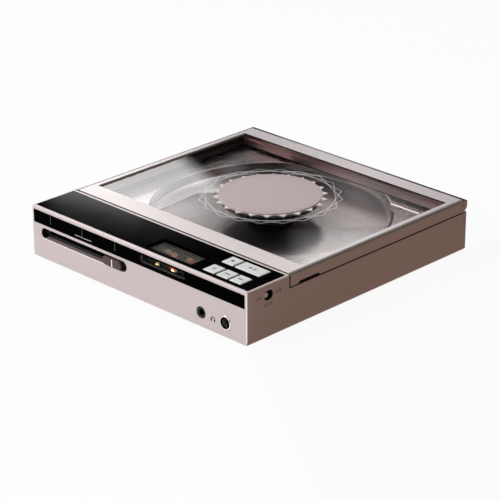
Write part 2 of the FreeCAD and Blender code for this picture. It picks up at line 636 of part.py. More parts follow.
def make_box(name, xs, ys, zs):
    box = doc.addObject("Part::Box", name)
    for prop, span in (("Length", xs), ("Width", ys), ("Height", zs)):
        bind(box, prop, extent(span))
    for axis, span in (("x", xs), ("y", ys), ("z", zs)):
        bind(box, f"Placement.Base.{axis}", span[0])
    return box


def make_cylinder(name, radius, length, at, axis="z"):
    cylinder = doc.addObject("Part::Cylinder", name)
    turned = {"x": Rotation(Vector(0, 1, 0), 90), "y": Rotation(Vector(1, 0, 0), -90), "z": Rotation()}
    cylinder.Placement = Placement(Vector(), turned[axis])
    bind(cylinder, "Radius", radius)
    bind(cylinder, "Height", length)
    for letter, formula in zip("xyz", at):
        bind(cylinder, f"Placement.Base.{letter}", formula)
    return cylinder


def make_cut(name, base, tools):
    cut = doc.addObject("Part::Cut", name)
    cut.Base = base
    cut.Tool = make_union(f"{name}_tool", tools)
    return cut


def make_union(name, shapes):
    if len(shapes) == 1:
        return shapes[0]
    union = doc.addObject("Part::MultiFuse", name)
    union.Shapes = shapes
    return union


def make_group(label, members):
    group = doc.addObject("Part::Compound", label)
    group.Links = members
    pieces.append(group)
    return group


def on_mechanism(piece):
    """Turns a piece drawn about the spindle, with the pickup's way along X, to its place."""
    piece.Placement = Placement(Vector(), Rotation(Vector(0, 0, 1), 1))
    bind(piece, "Placement.Base.y", SPINDLE_Y)
    bind(piece, "Placement.Rotation.Angle", "mech_angle")


def across(formula):
    """The span from minus a formula to plus it."""
    return (f"-({formula})", formula)


def about(centre, width):
    """The span of a width about a centre."""
    return (f"({centre}) - ({width}) / 2", f"({centre}) + ({width}) / 2")


def past(span, margin):
    """The span, longer by a margin at both ends, for a cut right through."""
    return (f"({span[0]}) - ({margin})", f"({span[1]}) + ({margin})")


# Screw, foot, post and button places that two or more pieces share
SCREW_HOLE = "(screw_radius + screw_clear)"
COVER_SCREW_X = f"({SIDE} - (cover_rim + side_wall + deck_ledge) / 2)"
COVER_SCREW_YS = across(f"({REAR} - screw_end_inset)")
COVER_SCREWS = [(f"{sign}{COVER_SCREW_X}", y) for sign in ("-", "") for y in COVER_SCREW_YS]
DECK_SCREW_X = f"({SIDE_INNER} - deck_clear / 2 - deck_ledge / 2 - deck_head_radius / 8)"
DECK_SCREW_YS = [f"({SPINDLE_Y} + ({step}) * deck_screw_pitch)" for step in (-1, 1)]
DECK_SCREWS = [(f"{sign}{DECK_SCREW_X}", y) for sign in ("-", "") for y in DECK_SCREW_YS]
FOOT_X = f"({SIDE} - foot_inset)"
FOOT_Y = f"({REAR} - foot_inset)"
FEET = [(f"{sx}{FOOT_X}", f"{sy}{FOOT_Y}") for sx in ("-", "") for sy in ("-", "")]
BUTTON_MARGIN = "(flange_wide + flange_room)"
FRONT_ROW = f"({FRONT} + button_front_inset)"
REAR_ROW = f"({FRONT_ROW} + row_pitch)"
POST_XS = [
    f"({WINDOW_LEFT} - post_radius - post_margin)",
    f"({SIDE_LOWER} - screw_head_radius - board_gap / 2)",
]
POST_YS = [f"({FRONT_INNER} + post_radius + post_margin)", f"({STRIP_INNER} - post_radius - post_margin)"]
POSTS = [(x, y) for x in POST_XS for y in POST_YS]
BUMPERS = [(f"{sign}({SIDE} - bumper_side_inset)", CATCH_Y) for sign in ("-", "")]
MAGNETS = [(f"{sign}({SIDE} - magnet_side_inset)", CATCH_Y) for sign in ("-", "")]
MAIN_SCREWS = [
    (f"-({MAIN_SIDE} - board_screw_inset)", f"({MAIN_FRONT} + board_screw_inset)"),
    (f"({SMALL_JACK_X} - small_jack_width / 2 - board_screw_inset)", f"({MAIN_FRONT} + board_screw_inset)"),
    (f"-({MAIN_SIDE} - board_screw_inset)", f"({MAIN_REAR} - board_screw_inset)"),
    (f"({MAIN_SIDE} - board_screw_inset)", f"({MAIN_REAR} - board_screw_inset)"),
]
REAR_SCREWS = [
    (f"({side})", f"({REAR_BOARD_FRONT} + pillar_radius + pillar_margin)")
    for side in (f"{REAR_BOARD_LEFT} + pillar_radius + pillar_margin",
                 f"{REAR_BOARD_RIGHT} - pillar_radius - pillar_margin")
]
DAMPERS = [(x, y) for x in ("-damper_near", DAMPER_FAR) for y in ("-damper_offset", "damper_offset")]
BUTTONS = {
    "button_menu": (0, 1, FRONT_ROW),
    "button_previous": (1, 1, FRONT_ROW),
    "button_next": (2, 1, FRONT_ROW),
    "button_stop": (0, 1, REAR_ROW),
    "button_play": (1, 2, REAR_ROW),
}


def button_span(column, columns):
    left = f"({BUTTONS_LEFT} + {column} * button_pitch)"
    return (left, f"({left} + button_width + {columns - 1} * button_pitch)")


def make_chassis():
    """The case: four walls, the console with its shelf, and the seats of everything that it carries."""
    body = new_body("chassis_frame")
    add_block(body, across(SIDE), across(REAR), (BOTTOM, TOP))
    dress(body, "Chamfer", "edge_break", lambda edge: True)
    beyond = f"({REAR} + rear_wall)"
    cut_block(body, across(f"({SIDE} + side_wall)"), (STRIP_REAR, beyond), (RIM, f"({TOP} + lid_height)"))
    cut_block(body, across(SIDE_LOWER), (FRONT_INNER, REAR_INNER), (f"({BOTTOM} - cover_thick)", DECK_UNDER))
    cut_block(body, across(SIDE_INNER), (STRIP_REAR, REAR_INNER), (DECK_UNDER, f"({RIM} + lid_height)"))
    cut_block(body, across(SIDE_INNER), (FRONT_INNER, STRIP_INNER), (DECK_UNDER, SHELF_UNDER))
    cut_block(
        body,
        across(f"({SIDE} - cover_rim)"),
        across(f"({REAR} - cover_rim)"),
        (f"({BOTTOM} - cover_thick)", COVER_TOP),
    )
    cut_block(body, across(PANEL_SIDE), (PANEL_FRONT, PANEL_REAR), (SHELF, f"({TOP} + panel_thick)"))
    cut_block(
        body,
        past((BUTTONS_LEFT, BUTTONS_RIGHT), BUTTON_MARGIN),
        past((FRONT_ROW, REAR_ROW), f"button_length / 2 + {BUTTON_MARGIN}"),
        past((SHELF_UNDER, SHELF), "shelf_thick"),
    )
    cut_block(
        body,
        about(WINDOW_X, "window_width - 2 * window_ledge"),
        about(WINDOW_Y, "window_depth - 2 * window_ledge"),
        past((SHELF_UNDER, SHELF), "shelf_thick"),
    )
    ahead = f"({FRONT} - front_wall)"
    behind = f"({FRONT_INNER} + front_wall / 2)"
    cut_front(
        body,
        lambda sketch: add_rectangle(sketch, f"2 * {FASCIA_SIDE}", "fascia_height"),
        ("0", f"({FASCIA_TOP} - fascia_height / 2)"),
        (ahead, FASCIA_REAR),
    )
    cut_front(
        body,
        lambda sketch: add_rectangle(
            sketch, "window_width - 2 * window_ledge", "window_height - 2 * window_ledge"),
        (WINDOW_X, WINDOW_Z),
        (ahead, behind),
    )
    cut_front(
        body,
        lambda sketch: add_slot(sketch, SLOT_LENGTH, "slot_height"),
        (SLOT_X, SLOT_Z),
        (ahead, behind),
    )
    holes = ((SMALL_JACK_X, "small_nose + jack_clear"), (LARGE_JACK_X, "ring_outer + jack_clear"))
    for place, radius in holes:
        cut_front(body, lambda sketch: add_circle(sketch, radius), (place, JACK_Z), (ahead, behind))
    front_face = flat_at(body, "Y", "Min")

    def mouth(edge):
        clear_of_edge = edge.BoundBox.ZMin > value(COVER_TOP)
        below_panel = edge.BoundBox.ZMax < value(f"({FASCIA_TOP} - fascia_height)") - SAME_PLACE
        return front_face(edge) and clear_of_edge and below_panel
    dress(body, "Chamfer", "mouth_break", mouth)
    lock = new_sketch(body, "YZ_Plane", (f"({SIDE} + side_wall)", LOCK_Y, LOCK_Z))
    add_slot(lock, "lock_slot_length", "lock_slot_height")
    extrude(body, "Pocket", lock, "2 * side_wall + slide_gap")
    inside = f"({REAR_INNER} - rear_wall / 2)"
    outside = f"({REAR} + rear_wall)"
    cut_front(
        body,
        lambda sketch: add_slot(sketch, "usb_width + 2 * usb_clear", "usb_height + 2 * usb_clear"),
        (USB_X, USB_Z),
        (inside, outside),
    )
    cut_front(
        body,
        lambda sketch: add_circle(sketch, "small_nose + jack_clear"),
        (LINE_JACK_X, JACK_Z),
        (inside, outside),
    )
    for sign in ("-", ""):
        near = f"{sign}({SIDE} - lug_inset - lug_width - side_wall)"
        far = f"{sign}({SIDE} - side_wall / 2)"
        xs = (far, near) if sign else (near, far)
        ys = (f"({REAR_INNER} - lug_block)", f"({REAR} - rear_wall / 2)")
        add_block(body, xs, ys, (f"({RIM} - block_height)", RIM))
        slot_x = f"{sign}({SIDE} - lug_inset - lug_width / 2)"
        cut_block(
            body,
            about(slot_x, "lug_width + 2 * lug_fit"),
            about(HINGE_Y, "lug_neck + 2 * lug_fit"),
            (f"({RIM} - lug_depth - lug_fit)", f"({RIM} + lug_radius)"),
        )
    add_rounds(body, "post_radius", POSTS, (POST_END, f"({SHELF_UNDER} + shelf_thick / 2)"))
    cut_rounds(body, SCREW_HOLE, POSTS, (f"({POST_END} - board_thick)", f"({POST_END} + screw_grip)"))
    cut_rounds(
        body, SCREW_HOLE, COVER_SCREWS,
        (BOTTOM, f"({BOTTOM} + screw_head_thick + screw_grip + screw_clear)"))
    cut_rounds(
        body, "deck_screw_radius + screw_clear", DECK_SCREWS,
        (f"({DECK} - deck_head_thick - screw_grip - screw_clear)", f"({DECK_UNDER} + deck_clear)"))


def make_bottom_cover():
    """The plate under the case, with pillars for the boards and the mechanism's dampers."""
    body = new_body("bottom_cover")
    add_block(
        body,
        across(f"({SIDE} - cover_rim - cover_clear)"),
        across(f"({REAR} - cover_rim - cover_clear)"),
        (BOTTOM, COVER_TOP),
    )
    add_rounds(body, "pillar_radius", MAIN_SCREWS + REAR_SCREWS, (COVER_TOP, BOARD_UNDER))
    pillars = new_sketch(body, "XY_Plane", ("0", SPINDLE_Y, COVER_TOP), turn="mech_angle")
    for place in DAMPERS:
        add_circle(pillars, "pillar_radius", place)
    extrude(body, "Pad", pillars, f"{MECH_UNDER} - damper_height - {COVER_TOP}")
    cut_rounds(
        body, SCREW_HOLE, MAIN_SCREWS + REAR_SCREWS,
        (f"({BOARD_UNDER} - board_rise - cover_thick / 2)", BOARD_TOP))
    cut_rounds(body, "foot_radius", FEET, (f"({BOTTOM} - foot_proud)", f"({BOTTOM} + foot_inlet)"))
    cut_rounds(body, SCREW_HOLE, COVER_SCREWS, (BOTTOM, COVER_TOP))
    cut_rounds(
        body, "screw_head_radius + screw_clear", COVER_SCREWS,
        (f"({BOTTOM} - foot_proud)", f"({BOTTOM} + screw_head_thick)"))


def make_feet():
    body = new_body("rubber_feet")
    add_rounds(body, "foot_radius", FEET, ("0", f"({BOTTOM} + foot_inlet)"))
    dress(body, "Chamfer", "foot_proud / 2", flat_at(body, "Z", "Min"))


def make_deck():
    """The metal deck: a plate with the disc well turned in it and a finger recess milled beside it."""
    body = new_body("disc_deck")
    side = f"({SIDE_INNER} - deck_clear)"
    front = f"({STRIP_REAR} + deck_clear)"
    rear = f"({REAR_INNER} - deck_clear)"
    spindle = ("0", SPINDLE_Y)
    add_block(body, across(side), (front, rear), (DECK_UNDER, DECK))
    add_rounds(body, f"{WELL} + well_wall", [spindle], (FLOOR_UNDER, f"({DECK} - deck_thick / 2)"))
    above = f"({DECK} + deck_thick)"
    recess_ys = (SPINDLE_Y, f"({SPINDLE_Y} + recess_rear)")
    recess_right = f"({WELL} - recess_inset)"
    recess_xs = (f"({recess_right} - recess_width)", recess_right)
    add_block(
        body,
        (recess_xs[0], f"({recess_xs[1]} + recess_wall)"),
        (recess_ys[0], f"({recess_ys[1]} + recess_wall)"),
        (f"({DECK} - recess_depth - recess_wall)", f"({DECK} - deck_thick / 2)"),
    )
    turn_profile(
        body, "Groove", ("0", SPINDLE_Y, "0"),
        [
            ("0", FLOOR),
            (WELL, FLOOR),
            (WELL, f"({DECK} - well_edge)"),
            (f"({WELL} + well_edge)", DECK),
            (f"({WELL} + well_edge)", above),
            ("0", above),
        ],
    )

    doc.recompute()
    floor_level = min(edge.BoundBox.ZMin for edge in body.Tip.Shape.Edges if round_edge(edge, WELL))

    def foot_of_wall(edge):
        return round_edge(edge, WELL) and edge.BoundBox.ZMax < floor_level + SAME_PLACE
    dress(body, "Fillet", "well_round", foot_of_wall)
    cut_block(body, recess_xs, recess_ys, (f"({DECK} - recess_depth)", above))

    def recess_corner(edge):
        right = value(recess_right)
        at_right = abs(edge.BoundBox.XMin - right) < SAME_PLACE
        at_rear = edge.BoundBox.YMin > sheet.get("recess_rear")
        return upright(edge) and at_right and at_rear and edge.Length < sheet.get("well_depth")
    dress(body, "Fillet", "recess_round", recess_corner)
    doc.recompute()
    on_deck = flat_at(body, "Z", "Max")

    def recess_edge(edge):
        box = edge.BoundBox
        inside = box.XMax < value(side) - SAME_PLACE and box.YMax < value(rear) - SAME_PLACE
        past_well = box.XMin > 0 and box.YMin > value(SPINDLE_Y)
        well_arc = round_edge(edge, f"({WELL} + well_edge)")
        return on_deck(edge) and inside and past_well and not well_arc
    dress(body, "Chamfer", "well_edge", recess_edge)
    cut_rounds(body, "hub_hole", [spindle], past((FLOOR_UNDER, FLOOR), "floor_thick / 2"))
    opening = new_sketch(body, "XY_Plane", ("0", SPINDLE_Y, f"({FLOOR} + well_round)"), turn="mech_angle")
    add_rectangle(opening, OPENING_END, "pickup_opening", (f"{OPENING_END} / 2", "0"))
    extrude(body, "Pocket", opening, "well_round + floor_thick * 2")
    block_x = f"({SIDE} - lug_inset - lug_width - side_wall - deck_clear)"
    block_y = f"({REAR_INNER} - lug_block - deck_clear)"
    through = (f"({DECK_UNDER} - deck_thick)", above)
    for xs in ((f"-({side} + deck_clear)", f"-{block_x}"), (block_x, f"({side} + deck_clear)")):
        cut_block(body, xs, (block_y, f"({rear} + deck_clear)"), through)
    cut_rounds(body, "magnet_radius + magnet_fit", MAGNETS, (f"({DECK} - magnet_thick)", above))
    cut_rounds(body, "bumper_radius", BUMPERS, (f"({DECK} - bumper_inlet)", above))
    cut_rounds(body, "deck_screw_radius + screw_clear", DECK_SCREWS, through)
    cut_rounds(body, "deck_head_radius + screw_clear", DECK_SCREWS, (f"({DECK} - deck_head_thick)", above))


def make_panels():
    """The two black panels and the clear windows set in them."""
    top = new_body("top_panel")
    add_block(
        top,
        across(f"({PANEL_SIDE} - panel_clear)"),
        (f"({PANEL_FRONT} + panel_clear)", f"({PANEL_REAR} - panel_clear)"),
        (SHELF, TOP),
    )
    through = past((SHELF, TOP), "panel_thick")
    cut_block(top, about(WINDOW_X, "window_width"), about(WINDOW_Y, "window_depth"), through)
    for column, columns, row in BUTTONS.values():
        left, right = button_span(column, columns)
        cut_block(
            top,
            (f"({left} - button_gap)", f"({right} + button_gap)"),
            about(row, "button_length + 2 * button_gap"),
            through,
        )
    fascia = new_body("front_panel")
    fascia_z = f"({FASCIA_TOP} - fascia_height / 2)"
    add_front(
        fascia,
        lambda sketch: add_rectangle(
            sketch, f"2 * ({FASCIA_SIDE} - panel_clear)", "fascia_height - 2 * panel_clear"),
        ("0", fascia_z),
        (FRONT, FASCIA_REAR),
    )
    cut_front(
        fascia,
        lambda sketch: add_rectangle(sketch, "window_width", "window_height"),
        (WINDOW_X, WINDOW_Z),
        (f"({FRONT} - fascia_thick)", f"({FASCIA_REAR} + fascia_thick)"),
    )
    upper = new_body("tube_window_top")
    add_block(
        upper,
        about(WINDOW_X, "window_width - 2 * window_clear"),
        about(WINDOW_Y, "window_depth - 2 * window_clear"),
        (SHELF, TOP),
    )
    lower = new_body("tube_window_front")
    add_front(
        lower,
        lambda sketch: add_rectangle(
            sketch, "window_width - 2 * window_clear", "window_height - 2 * window_clear"),
        (WINDOW_X, WINDOW_Z),
        (FRONT, FASCIA_REAR),
    )


FLANGE_TOP = f"({SHELF} - flange_gap)"
FLANGE_UNDER = f"({FLANGE_TOP} - flange_thick)"
STEM_END = f"({FLANGE_UNDER} - stem_length)"


def make_buttons():
    """Five caps with flanges under the panel, and the push switches that their stems meet."""
    switches = new_body("tact_switches")
    places = []
    for label, (column, columns, row) in BUTTONS.items():
        xs = button_span(column, columns)
        ys = about(row, "button_length")
        cap = new_body(label)
        add_block(cap, xs, ys, (FLANGE_TOP, f"({TOP} + button_proud)"))
        dress(cap, "Chamfer", "button_bevel", flat_at(cap, "Z", "Max"))
        add_block(
            cap,
            (f"({xs[0]} - flange_wide)", f"({xs[1]} + flange_wide)"),
            (f"({ys[0]} - flange_wide)", f"({ys[1]} + flange_wide)"),
            (FLANGE_UNDER, FLANGE_TOP),
        )
        place = (middle(xs), row)
        add_rounds(cap, "stem_radius", [place], (STEM_END, FLANGE_UNDER))
        places.append(place)
    base = new_sketch(switches, "XY_Plane", ("0", "0", POST_END))
    for place in places:
        add_rectangle(base, "switch_width", "switch_width", place)
    extrude(switches, "Pad", base, "switch_height")
    plunger_top = f"({STEM_END} - button_travel - press_gap)"
    add_rounds(switches, "switch_pin_radius", places, (f"({POST_END} + switch_height)", plunger_top))


def make_boards():
    """The control board hung under the shelf, the main board and the rear board, with their screws."""
    control = new_body("control_board")
    add_block(
        control,
        (f"({POST_XS[0]} - post_radius - board_gap)", f"({SIDE_LOWER} - board_gap / 2)"),
        (f"({FRONT_INNER} + board_gap)", f"({STRIP_INNER} - board_gap)"),
        (f"({POST_END} - board_thick)", POST_END),
    )
    cut_rounds(control, SCREW_HOLE, POSTS, past((f"({POST_END} - board_thick)", POST_END), "board_thick"))
    main = new_body("main_board")
    add_block(main, across(MAIN_SIDE), (MAIN_FRONT, MAIN_REAR), (BOARD_UNDER, BOARD_TOP))
    cut_rounds(main, SCREW_HOLE, MAIN_SCREWS, past((BOARD_UNDER, BOARD_TOP), "board_thick"))
    rear = new_body("rear_board")
    add_block(
        rear,
        (REAR_BOARD_LEFT, REAR_BOARD_RIGHT),
        (REAR_BOARD_FRONT, REAR_BOARD_REAR),
        (BOARD_UNDER, BOARD_TOP),
    )
    cut_rounds(rear, SCREW_HOLE, REAR_SCREWS, past((BOARD_UNDER, BOARD_TOP), "board_thick"))
    screws = new_body("board_screws")
    fixed = MAIN_SCREWS + REAR_SCREWS
    add_rounds(screws, "screw_head_radius", fixed, (BOARD_TOP, f"({BOARD_TOP} + screw_head_thick)"))
    add_rounds(screws, "screw_radius", fixed, (f"({BOARD_UNDER} - board_rise)", BOARD_TOP))
    board_under = f"({POST_END} - board_thick)"
    add_rounds(screws, "screw_head_radius", POSTS, (f"({board_under} - screw_head_thick)", board_under))
    add_rounds(screws, "screw_radius", POSTS, (board_under, f"({POST_END} + screw_grip - screw_clear)"))


def make_slide_control():
    """The slide knob with its lever, and the track body that the lever runs in."""
    knob = new_body("slider_knob")
    centre = (KNOB_X, SLOT_Z)
    face = f"({FRONT} - knob_proud)"
    back = f"({FRONT} + knob_sunk)"
    add_front(knob, lambda sketch: add_slot(sketch, "knob_length", "knob_height"), centre, (face, back))
    dress(knob, "Fillet", "knob_round", flat_at(knob, "Y", "Min"))
    cut_front(
        knob,
        lambda sketch: add_rectangle(sketch, "knob_line_width", "knob_height - 2 * knob_round"),
        centre,
        (f"({face} - knob_proud)", f"({face} + knob_line_deep)"),
    )
    add_front(
        knob,
        lambda sketch: add_rectangle(sketch, "lever_width", "lever_thick"),
        centre,
        (back, f"({back} + lever_length)"),
    )
    track = new_body("slide_control")
    track_end = f"({FRONT_INNER} + control_depth)"
    add_front(
        track,
        lambda sketch: add_rectangle(
            sketch, f"{SLOT_LENGTH} + 2 * control_margin", "slot_height + 2 * control_margin"),
        (SLOT_X, SLOT_Z),
        (FRONT_INNER, track_end),
    )
    cut_front(
        track,
        lambda sketch: add_rectangle(
            sketch,
            f"{SLOT_LENGTH} - knob_length + lever_width + 2 * lever_clear",
            "lever_thick + 2 * lever_clear",
        ),
        (SLOT_X, SLOT_Z),
        (f"({FRONT_INNER} - control_depth)", f"({back} + lever_length + lever_clear)"),
    )


def make_lock():
    """The lock knob in its slot on the right side, and the switch behind it."""
    knob = new_body("lock_knob")
    switch_face = SIDE_INNER
    outer = new_sketch(knob, "YZ_Plane", (f"({switch_face} + slide_gap)", LOCK_KNOB_Y, LOCK_Z))
    add_circle(outer, "lock_knob_radius")
    extrude(knob, "Pad", outer, f"{SIDE} - lock_knob_sunk - {switch_face} - slide_gap")
    dress(knob, "Chamfer", "lock_knob_bevel", flat_at(knob, "X", "Max"))
    stem = new_sketch(knob, "YZ_Plane", (f"({switch_face} - lock_stem_length)", LOCK_KNOB_Y, LOCK_Z))
    add_circle(stem, "lock_stem_radius")
    extrude(knob, "Pad", stem, "lock_stem_length + slide_gap")
    switch = new_body("lock_switch")
    shell = new_sketch(switch, "YZ_Plane", (f"({switch_face} - lock_body_depth)", LOCK_Y, LOCK_Z))
    add_rectangle(shell, "lock_body_length", "lock_body_height + 2 * slide_gap")
    extrude(switch, "Pad", shell, "lock_body_depth")
    way_middle = f"({LOCK_KNOB_Y} + lock_travel / 2)"
    way = new_sketch(switch, "YZ_Plane", (f"({switch_face} + slide_gap)", way_middle, LOCK_Z))
    add_slot(way, "lock_travel + 2 * (lock_stem_radius + slide_gap)", "2 * (lock_stem_radius + slide_gap)")
    extrude(switch, "Pocket", way, "lock_stem_length + 2 * slide_gap")


def make_jack(label, place, ys_body, width, bore, ys_bore, nose=None, ys_nose=None):
    """A jack: a body that stands on its board, a nose in the wall where it has one, and a blind bore."""
    jack = new_body(label)
    height = f"2 * ({JACK_Z} - {BOARD_TOP})"
    centre = (place, JACK_Z)
    add_front(jack, lambda sketch: add_rectangle(sketch, width, height), centre, ys_body)
    if nose:
        add_front(jack, lambda sketch: add_circle(sketch, nose), centre, ys_nose)
    cut_front(jack, lambda sketch: add_circle(sketch, bore), centre, ys_bore)


def make_sockets():
    """Two headphone jacks at the front, a line jack and a charging socket at the rear."""
    nose_face = f"({FRONT} + small_nose_sunk)"
    make_jack(
        "headphone_jack_small", SMALL_JACK_X, (FRONT_INNER, f"({FRONT_INNER} + small_jack_depth)"),
        "small_jack_width", "small_bore", (nose_face, f"({nose_face} + small_plug_depth)"),
        "small_nose", (nose_face, FRONT_INNER))
    make_jack(
        "headphone_jack_large", LARGE_JACK_X, (FRONT_INNER, f"({FRONT_INNER} + large_jack_depth)"),
        "large_jack_width", "large_bore", (FRONT_INNER, f"({FRONT_INNER} + large_plug_depth)"))
    line_face = f"({REAR} - small_nose_sunk)"
    make_jack(
        "line_jack", LINE_JACK_X, (f"({REAR_INNER} - small_jack_depth)", REAR_INNER),
        "small_jack_width", "small_bore", (f"({line_face} - small_plug_depth)", line_face),
        "small_nose", (REAR_INNER, line_face))
    ring = new_body("jack_ring")
    ring_face = f"({FRONT} - ring_proud)"
    ring_centre = (LARGE_JACK_X, JACK_Z)
    add_front(ring, lambda sketch: add_circle(sketch, "ring_outer"), ring_centre, (ring_face, FRONT_INNER))
    cut_front(
        ring, lambda sketch: add_circle(sketch, "ring_inner"), ring_centre,
        (f"({ring_face} - ring_proud)", f"({FRONT_INNER} + ring_proud)"))
    dress(ring, "Chamfer", "ring_bevel", flat_at(ring, "Y", "Min"))
    usb = new_body("usb_socket")
    usb_centre = (USB_X, USB_Z)
    usb_face = f"({REAR} - usb_sunk)"
    usb_back = f"({usb_face} - usb_depth)"
    usb_floor = f"({usb_back} + 2 * usb_shell)"
    add_front(
        usb, lambda sketch: add_slot(sketch, "usb_width", "usb_height"), usb_centre, (usb_back, usb_face))
    cut_front(
        usb, lambda sketch: add_slot(sketch, "usb_width - 2 * usb_shell", "usb_height - 2 * usb_shell"),
        usb_centre, (usb_floor, f"({usb_face} + usb_sunk)"))
    add_front(
        usb, lambda sketch: add_rectangle(sketch, "usb_width - usb_height", "usb_tongue"),
        usb_centre, (usb_floor, f"({usb_face} - usb_sunk)"))


def make_tubes():
    """Two glass valves lying side by side behind the windows, in saddles on the control board."""
    start = f"({WINDOW_X} - tube_length / 2)"
    inner = "(tube_radius - tube_glass)"
    envelopes = []
    electrodes = []
    for row, tube_y in (("front", FRONT_TUBE_Y), ("rear", REAR_TUBE_Y)):
        envelope = doc.addObject("PartDesign::Body", f"{row}_envelope")
        outline = new_sketch(envelope, "YZ_Plane", (start, tube_y, TUBE_Z))
        add_circle(outline, "tube_radius")
        extrude(envelope, "Pad", outline, "tube_length")
        dress(envelope, "Chamfer", "tube_dome", flat_at(envelope, "X", "Max"))
        turn_profile(
            envelope, "Groove", (start, tube_y, TUBE_Z),
            [
                ("tube_glass", "0"),
                ("tube_glass", inner),
                ("tube_length - tube_dome", inner),
                ("tube_length - tube_glass", f"({inner} - tube_dome / 2)"),
                ("tube_length - tube_glass", "0"),
            ],
            axis="H_Axis")
        envelopes.append(envelope)
        anode_start = f"({WINDOW_X} - anode_length / 2)"
        anode_end = f"({anode_start} + anode_length)"
        cage = [make_cylinder(
            f"{row}_anode", "anode_radius", "anode_length", (anode_start, tube_y, TUBE_Z), "x")]
        for end, place in (("left", f"({anode_start} - mica_thick)"), ("right", anode_end)):
            cage.append(make_cylinder(
                f"{row}_{end}_mica", f"{inner} - mica_gap", "mica_thick", (place, tube_y, TUBE_Z), "x"))
        electrodes.append(make_union(f"{row}_cage", cage))
        for side in ("-", ""):
            lead_y = f"({tube_y} + {side}tube_radius / 3)"
            lead_at = (f"({start} - lead_length)", lead_y, TUBE_Z)
            electrodes.append(make_cylinder(f"{row}_lead", "lead_radius", "lead_length", lead_at, "x"))
    make_group("tube_envelopes", envelopes)
    make_group("tube_electrodes", electrodes)
    saddles = []
    reach = "(tube_radius + cradle_margin)"
    ends = (f"({start} + cradle_inset)", f"({start} + tube_length - tube_dome - cradle_wide)")
    for name, place in zip(("left", "right"), ends):
        block = make_box(
            f"{name}_saddle_block",
            (place, f"({place} + cradle_wide)"),
            past((FRONT_TUBE_Y, REAR_TUBE_Y), reach),
            (POST_END, f"({TUBE_Z} - tube_radius / 3)"),
        )
        bed_radius = "tube_radius + cradle_clear"
        beds = [
            make_cylinder(f"{name}_{row}_bed", bed_radius, "cradle_wide", (place, tube_y, TUBE_Z), "x")
            for row, tube_y in (("front", FRONT_TUBE_Y), ("rear", REAR_TUBE_Y))
        ]
        saddles.append(make_cut(f"{name}_saddle", block, beds))
    make_group("tube_cradle", saddles)


def cut_side(body, outline, xs, centre=("0", "0")):
    """A cut across the part between two places along X, with its outline in the plane of the sides."""
    sketch = new_sketch(body, "YZ_Plane", (xs[1], centre[0], centre[1]))
    outline(sketch)
    return extrude(body, "Pocket", sketch, extent(xs))


def make_lid_frame():
    """The lid's metal frame: sloped edges, a rabbet for the glass, a finger notch and the hinge's seats."""
    body = new_body("lid_frame")
    add_block(body, across(SIDE), (LID_FRONT, REAR), (SEAM, TOP))
    low_edge = flat_at(body, "Z", "Min")
    rear_edge = flat_at(body, "Y", "Max")
    dress(body, "Fillet", "hinge_radius", lambda edge: low_edge(edge) and rear_edge(edge))
    top_edge = flat_at(body, "Z", "Max")
    front_edge = flat_at(body, "Y", "Min")
    dress(body, "Chamfer", "lid_front_bevel", lambda edge: top_edge(edge) and front_edge(edge))
    above = f"({TOP} + bevel_drop)"
    low = f"({TOP} - bevel_drop)"
    for sign in ("-", ""):
        outer = f"{sign}({SIDE} + side_bevel)"
        edge = f"{sign}{SIDE}"
        shoulder = f"{sign}({SIDE} - side_bevel)"
        slope = [(shoulder, TOP), (edge, low), (outer, low), (outer, above), (shoulder, above)]
        cut_front(
            body, lambda sketch: add_polygon(sketch, slope), ("0", "0"),
            (f"({LID_FRONT} - lid_front_bevel)", f"({REAR} + rear_bevel)"))
    shoulder = f"({REAR} - rear_bevel)"
    outer = f"({REAR} + rear_bevel)"
    slope = [(shoulder, TOP), (REAR, low), (outer, low), (outer, above), (shoulder, above)]
    cut_side(body, lambda sketch: add_polygon(sketch, slope), across(f"({SIDE} + side_bevel)"))
    cut_block(
        body, across(f"({GLASS_SIDE} - glass_ledge)"),
        (f"({GLASS_FRONT} + glass_ledge)", f"({GLASS_REAR} - glass_ledge)"),
        (f"({SEAM} - seam_gap)", above))
    cut_block(body, across(GLASS_SIDE), (GLASS_FRONT, GLASS_REAR), (GLASS_UNDER, above))
    notch_front = f"({LID_FRONT} + notch_inset)"
    notch_rear = f"({notch_front} + notch_length)"
    notch_top = f"({SEAM} + notch_height)"
    notch = [
        (notch_front, f"({SEAM} - seam_gap)"),
        (notch_rear, f"({SEAM} - seam_gap)"),
        (notch_rear, SEAM),
        (f"({notch_rear} - notch_slant)", notch_top),
        (f"({notch_front} + notch_slant)", notch_top),
        (notch_front, SEAM),
    ]
    cut_side(
        body, lambda sketch: add_polygon(sketch, notch),
        (f"({SIDE} - notch_deep)", f"({SIDE} + notch_deep)"))
    lug_room = "(lug_radius + lug_gap)"
    room = [
        (f"({HINGE_Y} - {lug_room})", f"({SEAM} - seam_gap)"),
        (f"({HINGE_Y} - {lug_room})", f"({HINGE_Z} + {lug_room})"),
        (f"({HINGE_Y} + lug_radius / 2)", f"({HINGE_Z} + {lug_room})"),
        (f"({REAR} + lug_gap)", f"({HINGE_Z} + lug_neck / 2 + lug_gap)"),
        (f"({REAR} + lug_gap)", f"({SEAM} - seam_gap)"),
    ]
    for sign in ("-", ""):
        lug_x = f"{sign}({SIDE} - lug_inset - lug_width / 2)"
        cut_side(body, lambda sketch: add_polygon(sketch, room), about(lug_x, "lug_width + 2 * lug_gap"))
        pin_x = f"{sign}({SIDE} - pin_length / 2)"
        cut_side(
            body, lambda sketch: add_circle(sketch, "pin_radius + pin_fit"),
            about(pin_x, "pin_length + 2 * pin_inset"), (HINGE_Y, HINGE_Z))
    cut_rounds(
        body, "magnet_radius + magnet_fit", MAGNETS, (f"({SEAM} - seam_gap)", f"({SEAM} + magnet_thick)"))


